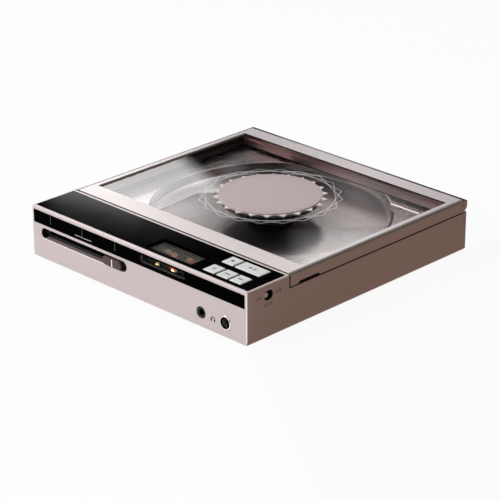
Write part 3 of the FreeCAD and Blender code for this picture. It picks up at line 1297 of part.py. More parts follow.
def make_lid_fittings():
    """The lid's glass with the plain disc and its toothed ring, the magnets, the bumpers and the hinge."""
    glass = new_body("lid_glass")
    add_block(
        glass, across(f"({GLASS_SIDE} - glass_clear)"),
        (f"({GLASS_FRONT} + glass_clear)", f"({GLASS_REAR} - glass_clear)"), (GLASS_UNDER, GLASS_TOP))
    spindle = ("0", SPINDLE_Y)
    sun_top = f"({GLASS_TOP} + sun_thick)"
    ring = new_body("emblem_ring")
    annulus = new_sketch(ring, "XY_Plane", ("0", SPINDLE_Y, GLASS_TOP))
    add_circle(annulus, "emblem_radius")
    add_circle(annulus, "emblem_radius - sun_overlap")
    extrude(ring, "Pad", annulus, "sun_thick")
    tooth = new_sketch(ring, "XY_Plane", ("0", SPINDLE_Y, GLASS_TOP))
    root = "(emblem_radius - tooth_length / 2)"
    add_polygon(tooth, [
        (root, "-tooth_half_width"),
        (root, "tooth_half_width"),
        ("emblem_radius + tooth_length", "0"),
    ])
    first = extrude(ring, "Pad", tooth, "sun_thick")
    doc.recompute()
    teeth = ring.newObject("PartDesign::PolarPattern", "teeth")
    teeth.Originals = [first]
    teeth.Axis = (tooth, ["N_Axis"])
    teeth.Angle = FULL_TURN
    bind(teeth, "Occurrences", "tooth_count")
    ring.Tip = teeth
    disc = new_body("emblem_disc")
    emblem_top = f"({TOP} + emblem_proud)"
    add_rounds(disc, "emblem_radius", [spindle], (sun_top, emblem_top))
    dress(disc, "Chamfer", "emblem_bevel", flat_at(disc, "Z", "Max"))
    line_outer = "(emblem_radius - ring_line_inset)"
    line_inner = f"({line_outer} - ring_line_width)"
    line_low = f"({emblem_top} - ring_line_deep)"
    line_high = f"({emblem_top} + ring_line_deep)"
    turn_profile(
        disc, "Groove", ("0", SPINDLE_Y, "0"),
        [(line_inner, line_low), (line_outer, line_low), (line_outer, line_high), (line_inner, line_high)])
    backing = new_body("emblem_backing")
    backing_zs = (f"({GLASS_UNDER} - backing_thick)", GLASS_UNDER)
    add_rounds(backing, "emblem_radius - backing_inset", [spindle], backing_zs)
    lid_magnets = new_body("lid_magnets")
    add_rounds(lid_magnets, "magnet_radius", MAGNETS, (SEAM, f"({SEAM} + magnet_thick)"))
    catches = new_body("catch_magnets")
    add_rounds(catches, "magnet_radius", MAGNETS, (f"({DECK} - magnet_thick)", DECK))
    bumpers = new_body("lid_bumpers")
    add_rounds(bumpers, "bumper_radius", BUMPERS, (f"({DECK} - bumper_inlet)", SEAM))
    lugs = []
    pins = []
    for name, sign in (("left", "-"), ("right", "")):
        xs = about(f"{sign}({SIDE} - lug_inset - lug_width / 2)", "lug_width")
        lug_at = (xs[0], HINGE_Y, HINGE_Z)
        head = make_cylinder(f"{name}_lug_head", "lug_radius", "lug_width", lug_at, "x")
        neck = make_box(f"{name}_lug_neck", xs, about(HINGE_Y, "lug_neck"), (f"({RIM} - lug_depth)", HINGE_Z))
        eye = make_cylinder(f"{name}_lug_eye", "pin_radius + pin_clear", "lug_width", lug_at, "x")
        lugs.append(make_cut(f"{name}_lug", make_union(f"{name}_lug_blank", [head, neck]), [eye]))
        pin_xs = about(f"{sign}({SIDE} - pin_inset - pin_length / 2)", "pin_length")
        pin_at = (pin_xs[0], HINGE_Y, HINGE_Z)
        pins.append(make_cylinder(f"{name}_pin", "pin_radius", "pin_length", pin_at, "x"))
    make_group("hinge_lugs", lugs)
    make_group("hinge_pins", pins)


def cut_along(body, radius, centres, xs):
    """Round bores along X at places given across and up."""
    sketch = new_sketch(body, "YZ_Plane", (xs[1], "0", "0"))
    for centre in centres:
        add_circle(sketch, radius, centre)
    extrude(body, "Pocket", sketch, extent(xs))


RODS = [("-rod_spread", ROD_Z), ("rod_spread", ROD_Z)]
SCREW_LINE = ("-screw_offset", SCREW_Z)


def make_mechanism_plate():
    """The plate on dampers under the well: rod supports, lead screw tabs and the pickup's opening."""
    plate = new_body("mech_plate")
    add_block(plate, ("-mech_tail", MECH_REACH), across("mech_half_width"), (MECH_UNDER, MECH_TOP))

    def far_corner(edge):
        return upright(edge) and edge.BoundBox.XMax > 0
    dress(plate, "Chamfer", "mech_corner", far_corner)
    opening_start = "(lens_start - turret_length / 2 - opening_end_gap)"
    through = past((MECH_UNDER, MECH_TOP), "mech_thick")
    cut_block(plate, (opening_start, OPENING_END), across("(pickup_opening / 2)"), through)
    cut_rounds(plate, "hub_sleeve", [("0", "0")], through)
    support_under = f"({ROD_Z} - rod_radius - rod_support / 3)"
    supports = (("rod_start", "rod_start + rod_support"), (f"({MECH_REACH} - rod_support)", MECH_REACH))
    for xs in supports:
        for place, level in RODS:
            add_block(plate, xs, about(place, "rod_support_wide"), (support_under, MECH_UNDER))
    cut_along(plate, "rod_radius + shaft_clear", RODS, past(("rod_start", MECH_REACH), "rod_support"))
    tab_under = f"({SCREW_Z} - lead_screw_radius - tab_thick / 2)"
    for start in ("tab_start", TAB_END):
        xs = (start, f"({start} + tab_thick)")
        add_block(plate, xs, about("-screw_offset", "2 * tab_half_width"), (tab_under, MECH_UNDER))
    screw_way = past(("tab_start", f"{TAB_END} + tab_thick"), "tab_thick")
    cut_along(plate, "lead_screw_radius + shaft_clear", [SCREW_LINE], screw_way)
    on_mechanism(plate)
    dampers = new_body("mech_dampers")
    add_rounds(dampers, "damper_radius", DAMPERS, (f"({MECH_UNDER} - damper_height)", MECH_UNDER))
    on_mechanism(dampers)


def make_spindle():
    """The spindle motor with its shaft, and the turntable with its centring boss and catch balls."""
    motor = new_body("spindle_motor")
    add_rounds(motor, "motor_radius", [("0", "0")], (MOTOR_UNDER, MECH_UNDER))
    dress(motor, "Chamfer", "motor_bevel", flat_at(motor, "Z", "Min"))
    cut_rounds(
        motor, "shaft_radius + shaft_clear", [("0", "0")],
        (f"({MOTOR_UNDER} + motor_height / 6)", f"({MECH_UNDER} + mech_thick)"))
    on_mechanism(motor)
    boss_top = f"({SEAT} + boss_height)"
    shaft = new_body("spindle_shaft")
    add_rounds(shaft, "shaft_radius", [("0", "0")], (f"({MOTOR_UNDER} + motor_height / 4)", boss_top))
    on_mechanism(shaft)
    hub = new_body("turntable_hub")
    bore = "(shaft_radius + shaft_clear)"
    sleeve_end = f"({MECH_TOP} + hub_sleeve_gap)"
    turned = turn_profile(hub, "Revolution", ("0", "0", "0"), [
        (bore, sleeve_end),
        ("hub_sleeve", sleeve_end),
        ("hub_sleeve", f"({SEAT} - hub_thick)"),
        ("hub_radius", f"({SEAT} - hub_thick)"),
        ("hub_radius", SEAT),
        ("boss_radius", SEAT),
        ("boss_radius", f"({boss_top} - boss_taper)"),
        ("boss_radius - boss_taper", boss_top),
        (bore, boss_top),
    ])
    ball_z = f"({SEAT} + ball_radius + ball_clear)"
    ball_x = "(boss_radius + ball_proud - ball_radius)"
    pocket = new_sketch(hub, "YZ_Plane", ("boss_radius + boss_taper", "0", ball_z))
    add_circle(pocket, "ball_radius + ball_clear / 2")
    first = extrude(hub, "Pocket", pocket, f"boss_taper + boss_radius - {ball_x} + ball_radius + ball_clear")
    doc.recompute()
    pockets = hub.newObject("PartDesign::PolarPattern", "ball_pockets")
    pockets.Originals = [first]
    pockets.Axis = (turned.Profile[0], ["V_Axis"])
    pockets.Angle = FULL_TURN
    pockets.Occurrences = BALL_COUNT
    hub.Tip = pockets
    on_mechanism(hub)
    balls = []
    for k in range(BALL_COUNT):
        ball = doc.addObject("Part::Sphere", f"ball_{k + 1}")
        angle = FULL_TURN * k / BALL_COUNT
        bind(ball, "Radius", "ball_radius")
        bind(ball, "Placement.Base.x", f"{ball_x} * {math.cos(math.radians(angle))}")
        bind(ball, "Placement.Base.y", f"{ball_x} * {math.sin(math.radians(angle))}")
        bind(ball, "Placement.Base.z", ball_z)
        balls.append(ball)
    on_mechanism(make_group("hub_balls", balls))


def make_pickup():
    """The pickup's sled on its two rods, and the lead screw with the motor that turns it."""
    sled = new_body("pickup_sled")
    turret_xs = about("lens_start", "turret_length")
    add_block(sled, about("lens_start", "sled_length"), across("(sled_width / 2)"), (SLED_UNDER, SLED_TOP))
    add_block(sled, turret_xs, across("(turret_width / 2)"), (SLED_TOP, TURRET_TOP))
    holder_top = f"({TURRET_TOP} + lens_holder_height)"
    add_rounds(sled, "lens_holder", [("lens_start", "0")], (TURRET_TOP, holder_top))
    arm_reach = "(screw_offset + lead_screw_radius + nut_wall)"
    arm_under = f"({SCREW_Z} - lead_screw_radius - nut_wall)"
    arm_xs = about("lens_start", "nut_length")
    add_block(sled, arm_xs, (f"-{arm_reach}", "-rod_spread"), (arm_under, SLED_TOP))
    beyond = about("lens_start", "2 * sled_length")
    cut_along(sled, "rod_radius + shaft_clear", RODS, beyond)
    cut_along(sled, "lead_screw_radius + shaft_clear", [SCREW_LINE], beyond)
    on_mechanism(sled)
    lens = new_body("pickup_lens")
    add_rounds(lens, "lens_radius", [("lens_start", "0")], (holder_top, f"({holder_top} + lens_crown)"))
    dress(lens, "Chamfer", "lens_bevel", flat_at(lens, "Z", "Max"))
    on_mechanism(lens)
    rod_length = extent(("rod_start", MECH_REACH))
    rods = [
        make_cylinder(f"guide_rod_{k}", "rod_radius", rod_length, ("rod_start", *place), "x")
        for k, place in enumerate(RODS, start=1)
    ]
    on_mechanism(make_group("guide_rods", rods))
    screw = new_body("lead_screw")
    line = new_sketch(screw, "YZ_Plane", ("tab_start + shaft_clear", *SCREW_LINE))
    add_circle(line, "lead_screw_radius")
    extrude(screw, "Pad", line, f"{TAB_END} + tab_thick - tab_start - shaft_clear")
    on_mechanism(screw)
    motor = new_body("sled_motor")
    can = new_sketch(motor, "YZ_Plane", ("tab_start - sled_motor_length", *SCREW_LINE))
    add_circle(can, "sled_motor_radius")
    extrude(motor, "Pad", can, "sled_motor_length")
    dress(motor, "Chamfer", "motor_bevel", flat_at(motor, "X", "Min"))
    on_mechanism(motor)


def make_battery():
    body = new_body("battery_pack")
    rear = f"({REAR} - battery_rear_inset)"
    add_block(
        body, (BATTERY_LEFT, BATTERY_RIGHT), (f"({rear} - battery_length)", rear),
        (COVER_TOP, f"({COVER_TOP} + battery_height)"))
    dress(body, "Fillet", "battery_round", upright)


def make_case_screws():
    """The screws that hold the bottom cover from below and the deck from above."""
    cover = new_body("cover_screws")
    head_end = f"({BOTTOM} + screw_head_thick)"
    add_rounds(cover, "screw_head_radius", COVER_SCREWS, (BOTTOM, head_end))
    add_rounds(cover, "screw_radius", COVER_SCREWS, (head_end, f"({head_end} + screw_grip)"))
    deck = new_body("deck_screws")
    head_under = f"({DECK} - deck_head_thick)"
    add_rounds(deck, "deck_head_radius", DECK_SCREWS, (head_under, DECK))
    add_rounds(deck, "deck_screw_radius", DECK_SCREWS, (f"({head_under} - screw_grip)", head_under))


def check_and_write():
    """Stops on a failed object, an empty cut or a bad shape, then writes one file for each piece."""
    doc.recompute()
    for item in doc.Objects:
        failed = {"Invalid", "Error"} & set(item.State)
        if failed:
            raise RuntimeError(f"{item.Label} is {failed}")
        if item.TypeId in ("PartDesign::Pocket", "PartDesign::Groove"):
            if item.Shape.Volume > item.BaseFeature.Shape.Volume - SAME_PLACE:
                raise RuntimeError(f"{item.Label} cuts nothing")
    for piece in pieces:
        shape = piece.Shape
        if shape.isNull() or not shape.isValid() or not shape.Solids:
            raise RuntimeError(f"{piece.Label} has no valid solid")
    os.makedirs("parts", exist_ok=True)
    for piece in pieces:
        piece.Shape.exportStep(os.path.join("parts", f"{piece.Label}.step"))
        print(piece.Label, len(piece.Shape.Solids), "solids")


make_chassis()
make_bottom_cover()
make_feet()
make_case_screws()
make_deck()
make_panels()
make_buttons()
make_boards()
make_slide_control()
make_lock()
make_sockets()
make_tubes()
make_battery()
make_mechanism_plate()
make_spindle()
make_pickup()
make_lid_frame()
make_lid_fittings()
check_and_write()
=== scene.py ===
# The finishes, printed marks, glowing valves and studio of a portable disc player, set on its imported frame.
import bmesh
import bpy
import json
import math
from mathutils import Matrix, Vector


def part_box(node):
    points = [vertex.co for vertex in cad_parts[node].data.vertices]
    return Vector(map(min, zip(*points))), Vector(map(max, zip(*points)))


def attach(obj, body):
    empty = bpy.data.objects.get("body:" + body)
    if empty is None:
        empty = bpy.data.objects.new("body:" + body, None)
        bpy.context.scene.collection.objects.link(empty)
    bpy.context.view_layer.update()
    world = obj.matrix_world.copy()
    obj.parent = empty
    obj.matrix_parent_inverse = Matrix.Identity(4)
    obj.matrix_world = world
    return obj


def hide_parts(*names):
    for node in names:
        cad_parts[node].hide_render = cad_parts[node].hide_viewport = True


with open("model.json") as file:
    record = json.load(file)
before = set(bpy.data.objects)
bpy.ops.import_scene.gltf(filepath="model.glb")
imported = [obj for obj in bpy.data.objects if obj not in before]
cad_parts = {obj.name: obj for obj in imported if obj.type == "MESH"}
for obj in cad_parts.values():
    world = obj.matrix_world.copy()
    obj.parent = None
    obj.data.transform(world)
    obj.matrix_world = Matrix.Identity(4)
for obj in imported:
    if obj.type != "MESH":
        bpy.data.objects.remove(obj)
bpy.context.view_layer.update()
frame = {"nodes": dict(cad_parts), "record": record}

MM = 0.001
RIGHT = Vector((1, 0, 0))
REARWARD = Vector((0, 1, 0))
UP = Vector((0, 0, 1))
SMOOTH_BELOW = math.radians(35)
SAME_POINT = 1e-7
# A Mix node's sockets share their names, so they are called by their places
SHARE = 0
LEVEL_A, LEVEL_B = 2, 3
COLOUR_A, COLOUR_B, COLOUR_OUT = 6, 7, 2


# Colour, node and mesh helpers

def linear(hex_colour):
    """An sRGB hex colour as linear RGBA."""
    channels = [int(hex_colour[place:place + 2], 16) / 255 for place in (1, 3, 5)]
    return [c / 12.92 if c <= 0.04045 else ((c + 0.055) / 1.055) ** 2.4 for c in channels] + [1.0]


def per_metre(millimetres):
    """A noise's scale for features of a real size, on object coordinates in metres."""
    return 1 / (millimetres * MM)


def new_finish(name):
    material = bpy.data.materials.new(name)
    material.use_nodes = True
    material.node_tree.nodes.clear()
    return material, material.node_tree


def add(tree, kind, inputs=None, **settings):
    """A node with its settings, each named input set to a value or linked from another node's output."""
    node = tree.nodes.new(kind)
    for name, setting in settings.items():
        setattr(node, name, setting)
    for socket, source in (inputs or {}).items():
        if isinstance(source, bpy.types.NodeSocket):
            tree.links.new(source, node.inputs[socket])
        else:
            node.inputs[socket].default_value = source
    return node


def show(tree, shader):
    add(tree, "ShaderNodeOutputMaterial", {"Surface": shader.outputs[0]})


def new_object(name, bm, material):
    """A mesh object at the origin, made from a bmesh that holds its place."""
    bmesh.ops.recalc_face_normals(bm, faces=bm.faces[:])
    for face in bm.faces:
        face.smooth = True
    mesh = bpy.data.meshes.new(name)
    bm.to_mesh(mesh)
    bm.free()
    mesh.set_sharp_from_angle(angle=SMOOTH_BELOW)
    mesh.materials.append(material)
    made = bpy.data.objects.new(name, mesh)
    bpy.context.scene.collection.objects.link(made)
    return made


def new_piece(name, bm, material, body):
    """A piece of the player that moves with a body and takes the finish it is given."""
    piece = new_object(name, bm, material)
    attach(piece, body)
    return piece


def place_on(origin, right, up):
    """A frame for a mark on a face: x to its right, y up it, z out of it."""
    out = right.cross(up)
    return Matrix.Translation(origin) @ Matrix((right, up, out)).transposed().to_4x4()


def add_plate(bm, outline, place, thickness):
    """A flat plate with an outline in millimetres, lying on a face."""
    face = bm.faces.new([bm.verts.new((x * MM, y * MM, 0)) for x, y in outline])
    low = list(face.verts)
    grown = bmesh.ops.extrude_face_region(bm, geom=[face])["geom"]
    high = [item for item in grown if isinstance(item, bmesh.types.BMVert)]
    bmesh.ops.translate(bm, verts=high, vec=(0, 0, thickness * MM))
    bmesh.ops.transform(bm, matrix=place, verts=low + high)


def rectangle(left, low, right, high):
    return [(left, low), (right, low), (right, high), (left, high)]


def flat_ring(back, inner, front, outer):
    """The closed profile of a flat ring, between two places along its axis and two radii."""
    corners = rectangle(back, inner, front, outer)
    return corners + corners[:1]


def add_line(bm, start, end, width, place, thickness):
    """A straight line of a width, from one point to another, lying on a face."""
    along = (Vector(end) - Vector(start)).normalized()
    across = Vector((-along.y, along.x)) * width / 2
    start, end = Vector(start) - along * width / 2, Vector(end) + along * width / 2
    add_plate(bm, [start - across, end - across, end + across, start + across], place, thickness)


def add_block(bm, low, high):
    """A block between two corners in millimetres."""
    place = Matrix.Translation(Vector((0, 0, low[2])) * MM)
    add_plate(bm, rectangle(low[0], low[1], high[0], high[1]), place, high[2] - low[2])


def add_turned(bm, profile, place, steps):
    """A turned shape: a profile of (along, radius) points in millimetres, spun about the place's x axis."""
    before = set(bm.verts)
    points = [bm.verts.new((along * MM, radius * MM, 0)) for along, radius in profile]
    edges = [bm.edges.new(pair) for pair in zip(points, points[1:])]
    bmesh.ops.spin(
        bm, geom=points + edges, cent=(0, 0, 0), axis=RIGHT, angle=math.tau, steps=steps, use_merge=True)
    made = [point for point in bm.verts if point not in before]
    bmesh.ops.remove_doubles(bm, verts=made, dist=SAME_POINT)
    made = [point for point in bm.verts if point not in before]
    bmesh.ops.transform(bm, matrix=place, verts=made)


# Finishes

LINE_STRETCH = 0.04


def blasted_metal(name, pale, deep, metallic, roughness, coat=0.0, zones=()):
    """Bead-blasted, anodised aluminium: matt, with a fine even grain and slow drifts of tone.

    A zone is a box in millimetres whose faces have another colour, share of metal, roughness and coat.
    """
    material, tree = new_finish(name)
    place = add(tree, "ShaderNodeTexCoord").outputs["Object"]
    # Real blasting pits are about 0.05 mm. They are drawn at 0.7 mm, so that the grain shows at all.
    grain = add(tree, "ShaderNodeTexNoise", {"Vector": place, "Scale": per_metre(0.7), "Detail": 2.0})
    drift = add(tree, "ShaderNodeTexNoise", {"Vector": place, "Scale": per_metre(45), "Detail": 1.0})
    tone = add(tree, "ShaderNodeMix", data_type="RGBA", inputs={
        SHARE: drift.outputs["Fac"], COLOUR_A: linear(pale), COLOUR_B: linear(deep)})
    gloss = add(tree, "ShaderNodeMapRange", {
        "Value": grain.outputs["Fac"], "To Min": roughness - 0.04, "To Max": roughness + 0.04})
    bump = add(tree, "ShaderNodeBump", {
        "Height": grain.outputs["Fac"], "Strength": 0.08, "Distance": 0.02 * MM})
    look = {
        "Base Color": tone.outputs[COLOUR_OUT], "Metallic": metallic, "Roughness": gloss.outputs[0],
        "Coat Weight": coat}
    if zones:
        axes = add(tree, "ShaderNodeSeparateXYZ", {0: place})
    for low, high, colour, *levels in zones:
        within = 1.0
        for axis in range(3):
            middle, half = (low[axis] + high[axis]) / 2 * MM, (high[axis] - low[axis]) / 2 * MM
            beside = add(tree, "ShaderNodeMath", operation="COMPARE", inputs={
                0: axes.outputs[axis], 1: middle, 2: half})
            within = add(tree, "ShaderNodeMath", operation="MULTIPLY", inputs={
                0: within, 1: beside.outputs[0]}).outputs[0]
        look["Base Color"] = add(tree, "ShaderNodeMix", data_type="RGBA", inputs={
            SHARE: within, COLOUR_A: look["Base Color"], COLOUR_B: linear(colour)}).outputs[COLOUR_OUT]
        for quality, level in zip(("Metallic", "Roughness", "Coat Weight"), levels):
            look[quality] = add(tree, "ShaderNodeMix", {
                SHARE: within, LEVEL_A: look[quality], LEVEL_B: level}).outputs[0]
    show(tree, add(tree, "ShaderNodeBsdfPrincipled", {
        **look, "Normal": bump.outputs[0], "Coat Roughness": 0.3}))
    return material


def satin_deck():
    """Turned, anodised aluminium round the spindle: a satin surface that mirrors softly."""
    material, tree = new_finish("satin_turned_aluminium")
    place = add(tree, "ShaderNodeTexCoord").outputs["Object"]
    centred = add(tree, "ShaderNodeVectorMath", operation="SUBTRACT", inputs={
        0: place, 1: (SPINDLE.x * MM, SPINDLE.y * MM, 0)})
    flat = add(tree, "ShaderNodeVectorMath", {0: centred.outputs[0], 1: (1, 1, 0)}, operation="MULTIPLY")
    radius = add(tree, "ShaderNodeVectorMath", {0: flat.outputs[0]}, operation="LENGTH")
    # Turning marks are about 0.1 mm apart. They are drawn as faint uneven rings about 5 mm apart, since finer
    # ones beat with the picture's own grid.
    marks = add(tree, "ShaderNodeTexNoise", noise_dimensions="1D", inputs={
        "W": radius.outputs["Value"], "Scale": per_metre(5), "Detail": 0.0})
    drift = add(tree, "ShaderNodeTexNoise", {"Vector": place, "Scale": per_metre(30), "Detail": 2.0})
    tone = add(tree, "ShaderNodeMix", data_type="RGBA", inputs={
        SHARE: drift.outputs["Fac"], COLOUR_A: linear("#D9D3D3"), COLOUR_B: linear("#D2CCCC")})
    gloss = add(tree, "ShaderNodeMapRange", {"Value": marks.outputs["Fac"], "To Min": 0.262, "To Max": 0.278})
    show(tree, add(tree, "ShaderNodeBsdfPrincipled", {
        "Base Color": tone.outputs[COLOUR_OUT], "Metallic": 1.0, "Roughness": gloss.outputs[0]}))
    return material


def brushed_metal(name, pale, deep, metallic, roughness, spacing, along):
    """Brushed or drawn metal: fine straight lines along one axis, a spacing in millimetres apart."""
    material, tree = new_finish(name)
    place = add(tree, "ShaderNodeTexCoord").outputs["Object"]
    stretch = [LINE_STRETCH if axis == along else 1.0 for axis in range(3)]
    drawn = add(tree, "ShaderNodeMapping", {"Vector": place, "Scale": stretch})
    lines = add(tree, "ShaderNodeTexNoise", {
        "Vector": drawn.outputs[0], "Scale": per_metre(spacing), "Detail": 3.0})
    tone = add(tree, "ShaderNodeMix", data_type="RGBA", inputs={
        SHARE: lines.outputs["Fac"], COLOUR_A: linear(pale), COLOUR_B: linear(deep)})
    gloss = add(tree, "ShaderNodeMapRange", {
        "Value": lines.outputs["Fac"], "To Min": roughness - 0.05, "To Max": roughness + 0.05})
    bump = add(tree, "ShaderNodeBump", {
        "Height": lines.outputs["Fac"], "Strength": 0.06, "Distance": 0.01 * MM})
    show(tree, add(tree, "ShaderNodeBsdfPrincipled", {
        "Base Color": tone.outputs[COLOUR_OUT], "Metallic": metallic, "Roughness": gloss.outputs[0],
        "Normal": bump.outputs[0]}))
    return material


def black_glass(name, shine, roughness, index=1.5):
    """Black glass printed on its back, with the faintest smears. An index of 1 makes it a sheenless black."""
    material, tree = new_finish(name)
    place = add(tree, "ShaderNodeTexCoord").outputs["Object"]
    smears = add(tree, "ShaderNodeTexNoise", {"Vector": place, "Scale": per_metre(14), "Detail": 3.0})
    gloss = add(tree, "ShaderNodeMapRange", {
        "Value": smears.outputs["Fac"], "To Min": roughness - 0.02, "To Max": roughness + 0.02})
    tone = add(tree, "ShaderNodeMix", data_type="RGBA", inputs={
        SHARE: smears.outputs["Fac"], COLOUR_A: linear("#000000"), COLOUR_B: linear("#020202")})
    show(tree, add(tree, "ShaderNodeBsdfPrincipled", {
        "Base Color": tone.outputs[COLOUR_OUT], "Roughness": gloss.outputs[0],
        "Specular IOR Level": shine, "IOR": index}))
    return material


def clear_glass(name, tint, index):
    """Polished glass: it shows what is behind it, and mirrors more the flatter it is seen."""
    material, tree = new_finish(name)
    place = add(tree, "ShaderNodeTexCoord").outputs["Object"]
    smears = add(tree, "ShaderNodeTexNoise", {"Vector": place, "Scale": per_metre(20), "Detail": 2.0})
    gloss = add(tree, "ShaderNodeMapRange", {"Value": smears.outputs["Fac"], "To Min": 0.0, "To Max": 0.012})
    sheen = add(tree, "ShaderNodeFresnel", {"IOR": index})
    # Only the side of a face that looks outwards mirrors, so a pane shows one reflection and not two
    back = add(tree, "ShaderNodeNewGeometry").outputs["Backfacing"]
    outer = add(tree, "ShaderNodeMath", {0: 1.0, 1: back}, operation="SUBTRACT")
    share = add(tree, "ShaderNodeMath", {0: sheen.outputs[0], 1: outer.outputs[0]}, operation="MULTIPLY")
    through = add(tree, "ShaderNodeBsdfTransparent", {"Color": linear(tint)})
    mirror = add(tree, "ShaderNodeBsdfGlossy", {"Color": linear("#FFFFFF"), "Roughness": gloss.outputs[0]})
    show(tree, add(tree, "ShaderNodeMixShader", {
        0: share.outputs[0], 1: through.outputs[0], 2: mirror.outputs[0]}))
    return material


def moulded(name, pale, deep, roughness, grain):
    """Moulded plastic or rubber with a grain from its mould, of a size in millimetres."""
    material, tree = new_finish(name)
    place = add(tree, "ShaderNodeTexCoord").outputs["Object"]
    pits = add(tree, "ShaderNodeTexNoise", {"Vector": place, "Scale": per_metre(grain), "Detail": 2.0})
    tone = add(tree, "ShaderNodeMix", data_type="RGBA", inputs={
        SHARE: pits.outputs["Fac"], COLOUR_A: linear(pale), COLOUR_B: linear(deep)})
    gloss = add(tree, "ShaderNodeMapRange", {
        "Value": pits.outputs["Fac"], "To Min": roughness - 0.06, "To Max": roughness + 0.06})
    bump = add(tree, "ShaderNodeBump", {
        "Height": pits.outputs["Fac"], "Strength": 0.15, "Distance": 0.02 * MM})
    show(tree, add(tree, "ShaderNodeBsdfPrincipled", {
        "Base Color": tone.outputs[COLOUR_OUT], "Roughness": gloss.outputs[0], "Normal": bump.outputs[0]}))
    return material


def solder_mask():
    """Glass-fibre circuit board: a green lacquer over square-cornered copper tracks."""
    material, tree = new_finish("solder_mask_board")
    place = add(tree, "ShaderNodeTexCoord").outputs["Object"]
    tracks = add(tree, "ShaderNodeTexBrick", {
        "Vector": place, "Scale": per_metre(4), "Mortar Size": 0.06, "Color1": linear("#0E3A22"),
        "Color2": linear("#12452A"), "Mortar": linear("#2C6B45")})
    show(tree, add(tree, "ShaderNodeBsdfPrincipled", {
        "Base Color": tracks.outputs["Color"], "Roughness": 0.35}))
    return material


def coated_lens():
    """Moulded objective lens: dark, with the violet of its coating."""
    material, tree = new_finish("coated_lens")
    tint = add(tree, "ShaderNodeLayerWeight", {"Blend": 0.4})
    tone = add(tree, "ShaderNodeMix", data_type="RGBA", inputs={
        SHARE: tint.outputs["Facing"], COLOUR_A: linear("#141432"), COLOUR_B: linear("#4A3A7A")})
    show(tree, add(tree, "ShaderNodeBsdfPrincipled", {
        "Base Color": tone.outputs[COLOUR_OUT], "Roughness": 0.04, "Coat Weight": 1.0,
        "Coat Roughness": 0.02}))
    return material


def ink(name, colour, roughness):
    """Screen-printed ink: flat and slightly uneven in its cover."""
    material, tree = new_finish(name)
    place = add(tree, "ShaderNodeTexCoord").outputs["Object"]
    cover = add(tree, "ShaderNodeTexNoise", {"Vector": place, "Scale": per_metre(0.4), "Detail": 2.0})
    gloss = add(tree, "ShaderNodeMapRange", {
        "Value": cover.outputs["Fac"], "To Min": roughness - 0.1, "To Max": roughness + 0.1})
    show(tree, add(tree, "ShaderNodeBsdfPrincipled", {
        "Base Color": linear(colour), "Roughness": gloss.outputs[0]}))
    return material


def anode_with_painted_glow():
    """Dull nickel with a painted red glow round the places where the heaters and sleeves glow, standing in
    for their light on it.
    """
    material, tree = new_finish("anode_with_painted_glow")
    place = add(tree, "ShaderNodeTexCoord").outputs["Object"]
    soot = add(tree, "ShaderNodeTexNoise", {"Vector": place, "Scale": per_metre(1.5), "Detail": 2.0})
    tone = add(tree, "ShaderNodeMix", data_type="RGBA", inputs={
        SHARE: soot.outputs["Fac"], COLOUR_A: linear("#4A4644"), COLOUR_B: linear("#2C2A29")})
    emitted = 0.0
    for glow in GLOWS:
        away = add(tree, "ShaderNodeVectorMath", {0: place, 1: Vector(glow) * MM}, operation="DISTANCE")
        near = add(tree, "ShaderNodeMapRange", interpolation_type="SMOOTHSTEP", inputs={
            "Value": away.outputs["Value"], "From Min": 0.0, "From Max": PAINTED_GLOW_REACH * MM,
            "To Min": PAINTED_GLOW_STRENGTH, "To Max": 0.0})
        emitted = add(tree, "ShaderNodeMath", {0: emitted, 1: near.outputs[0]}, operation="ADD").outputs[0]
    show(tree, add(tree, "ShaderNodeBsdfPrincipled", {
        "Base Color": tone.outputs[COLOUR_OUT], "Metallic": 0.6, "Roughness": 0.45,
        "Emission Color": linear("#FF4314"), "Emission Strength": emitted}))
    return material


def hot_metal(name, colour, strength):
    """Metal that glows, in a valve's heater or its sleeve."""
    material, tree = new_finish(name)
    place = add(tree, "ShaderNodeTexCoord").outputs["Object"]
    flicker = add(tree, "ShaderNodeTexNoise", {"Vector": place, "Scale": per_metre(0.5), "Detail": 1.0})
    emitted = add(tree, "ShaderNodeMix", data_type="RGBA", inputs={
        SHARE: flicker.outputs["Fac"], COLOUR_A: linear(colour), COLOUR_B: linear("#FFE9C0")})
    show(tree, add(tree, "ShaderNodeBsdfPrincipled", {
        "Base Color": linear("#3A2418"), "Roughness": 0.5, "Emission Color": emitted.outputs[COLOUR_OUT],
        "Emission Strength": strength}))
    return material


# The looks of zones, most of them painted light or shade: a colour, then a share of metal, a roughness and a
# coat
# A flat black, painted as shade and shadow in slots, the valve room, gaps and rebates
PAINTED_SHADE = ("#040404", 0.0, 0.6, 0.0)
# The lid's inner walls, painted darker as the shade inside the lid
INNER_WALL_SHADE = ("#C9AEAC", 1.0, 0.36, 0.0)
# The rear of the lid's left inner wall, painted darker still as shade
LEFT_WALL_SHADE = ("#62595A", 1.0, 0.36, 0.0)
DIAMOND_CUT = ("#A8A49C", 1.0, 0.2, 0.0)
# The lid's right slope: a duller, darker copy of the diamond-cut bevel, painted as shade
RIGHT_SLOPE_SHADE = ("#8C867C", 0.3, 0.35, 0.0)
# A painted shadow along the foot of the lid's right slope
SLOPE_FOOT_SHADOW = ("#50473F", 0.3, 0.4, 0.0)
# The lid's top, painted lighter as lit from above
TOP_PAINTED_LIGHT = ("#DCD0CF", 0.4, 0.42, 1.0)
# A painted highlight on the slide slot's lower lip
LIP_HIGHLIGHT = ("#E6DAD8", 0.5, 0.42, 0.5)
# A painted highlight down the case's front right edge
EDGE_HIGHLIGHT = ("#F4ECEA", 1.0, 0.25, 0.0)
# A painted highlight on the well's bead
BEAD_HIGHLIGHT = ("#FBF4F2", 0.0, 0.4, 0.0)

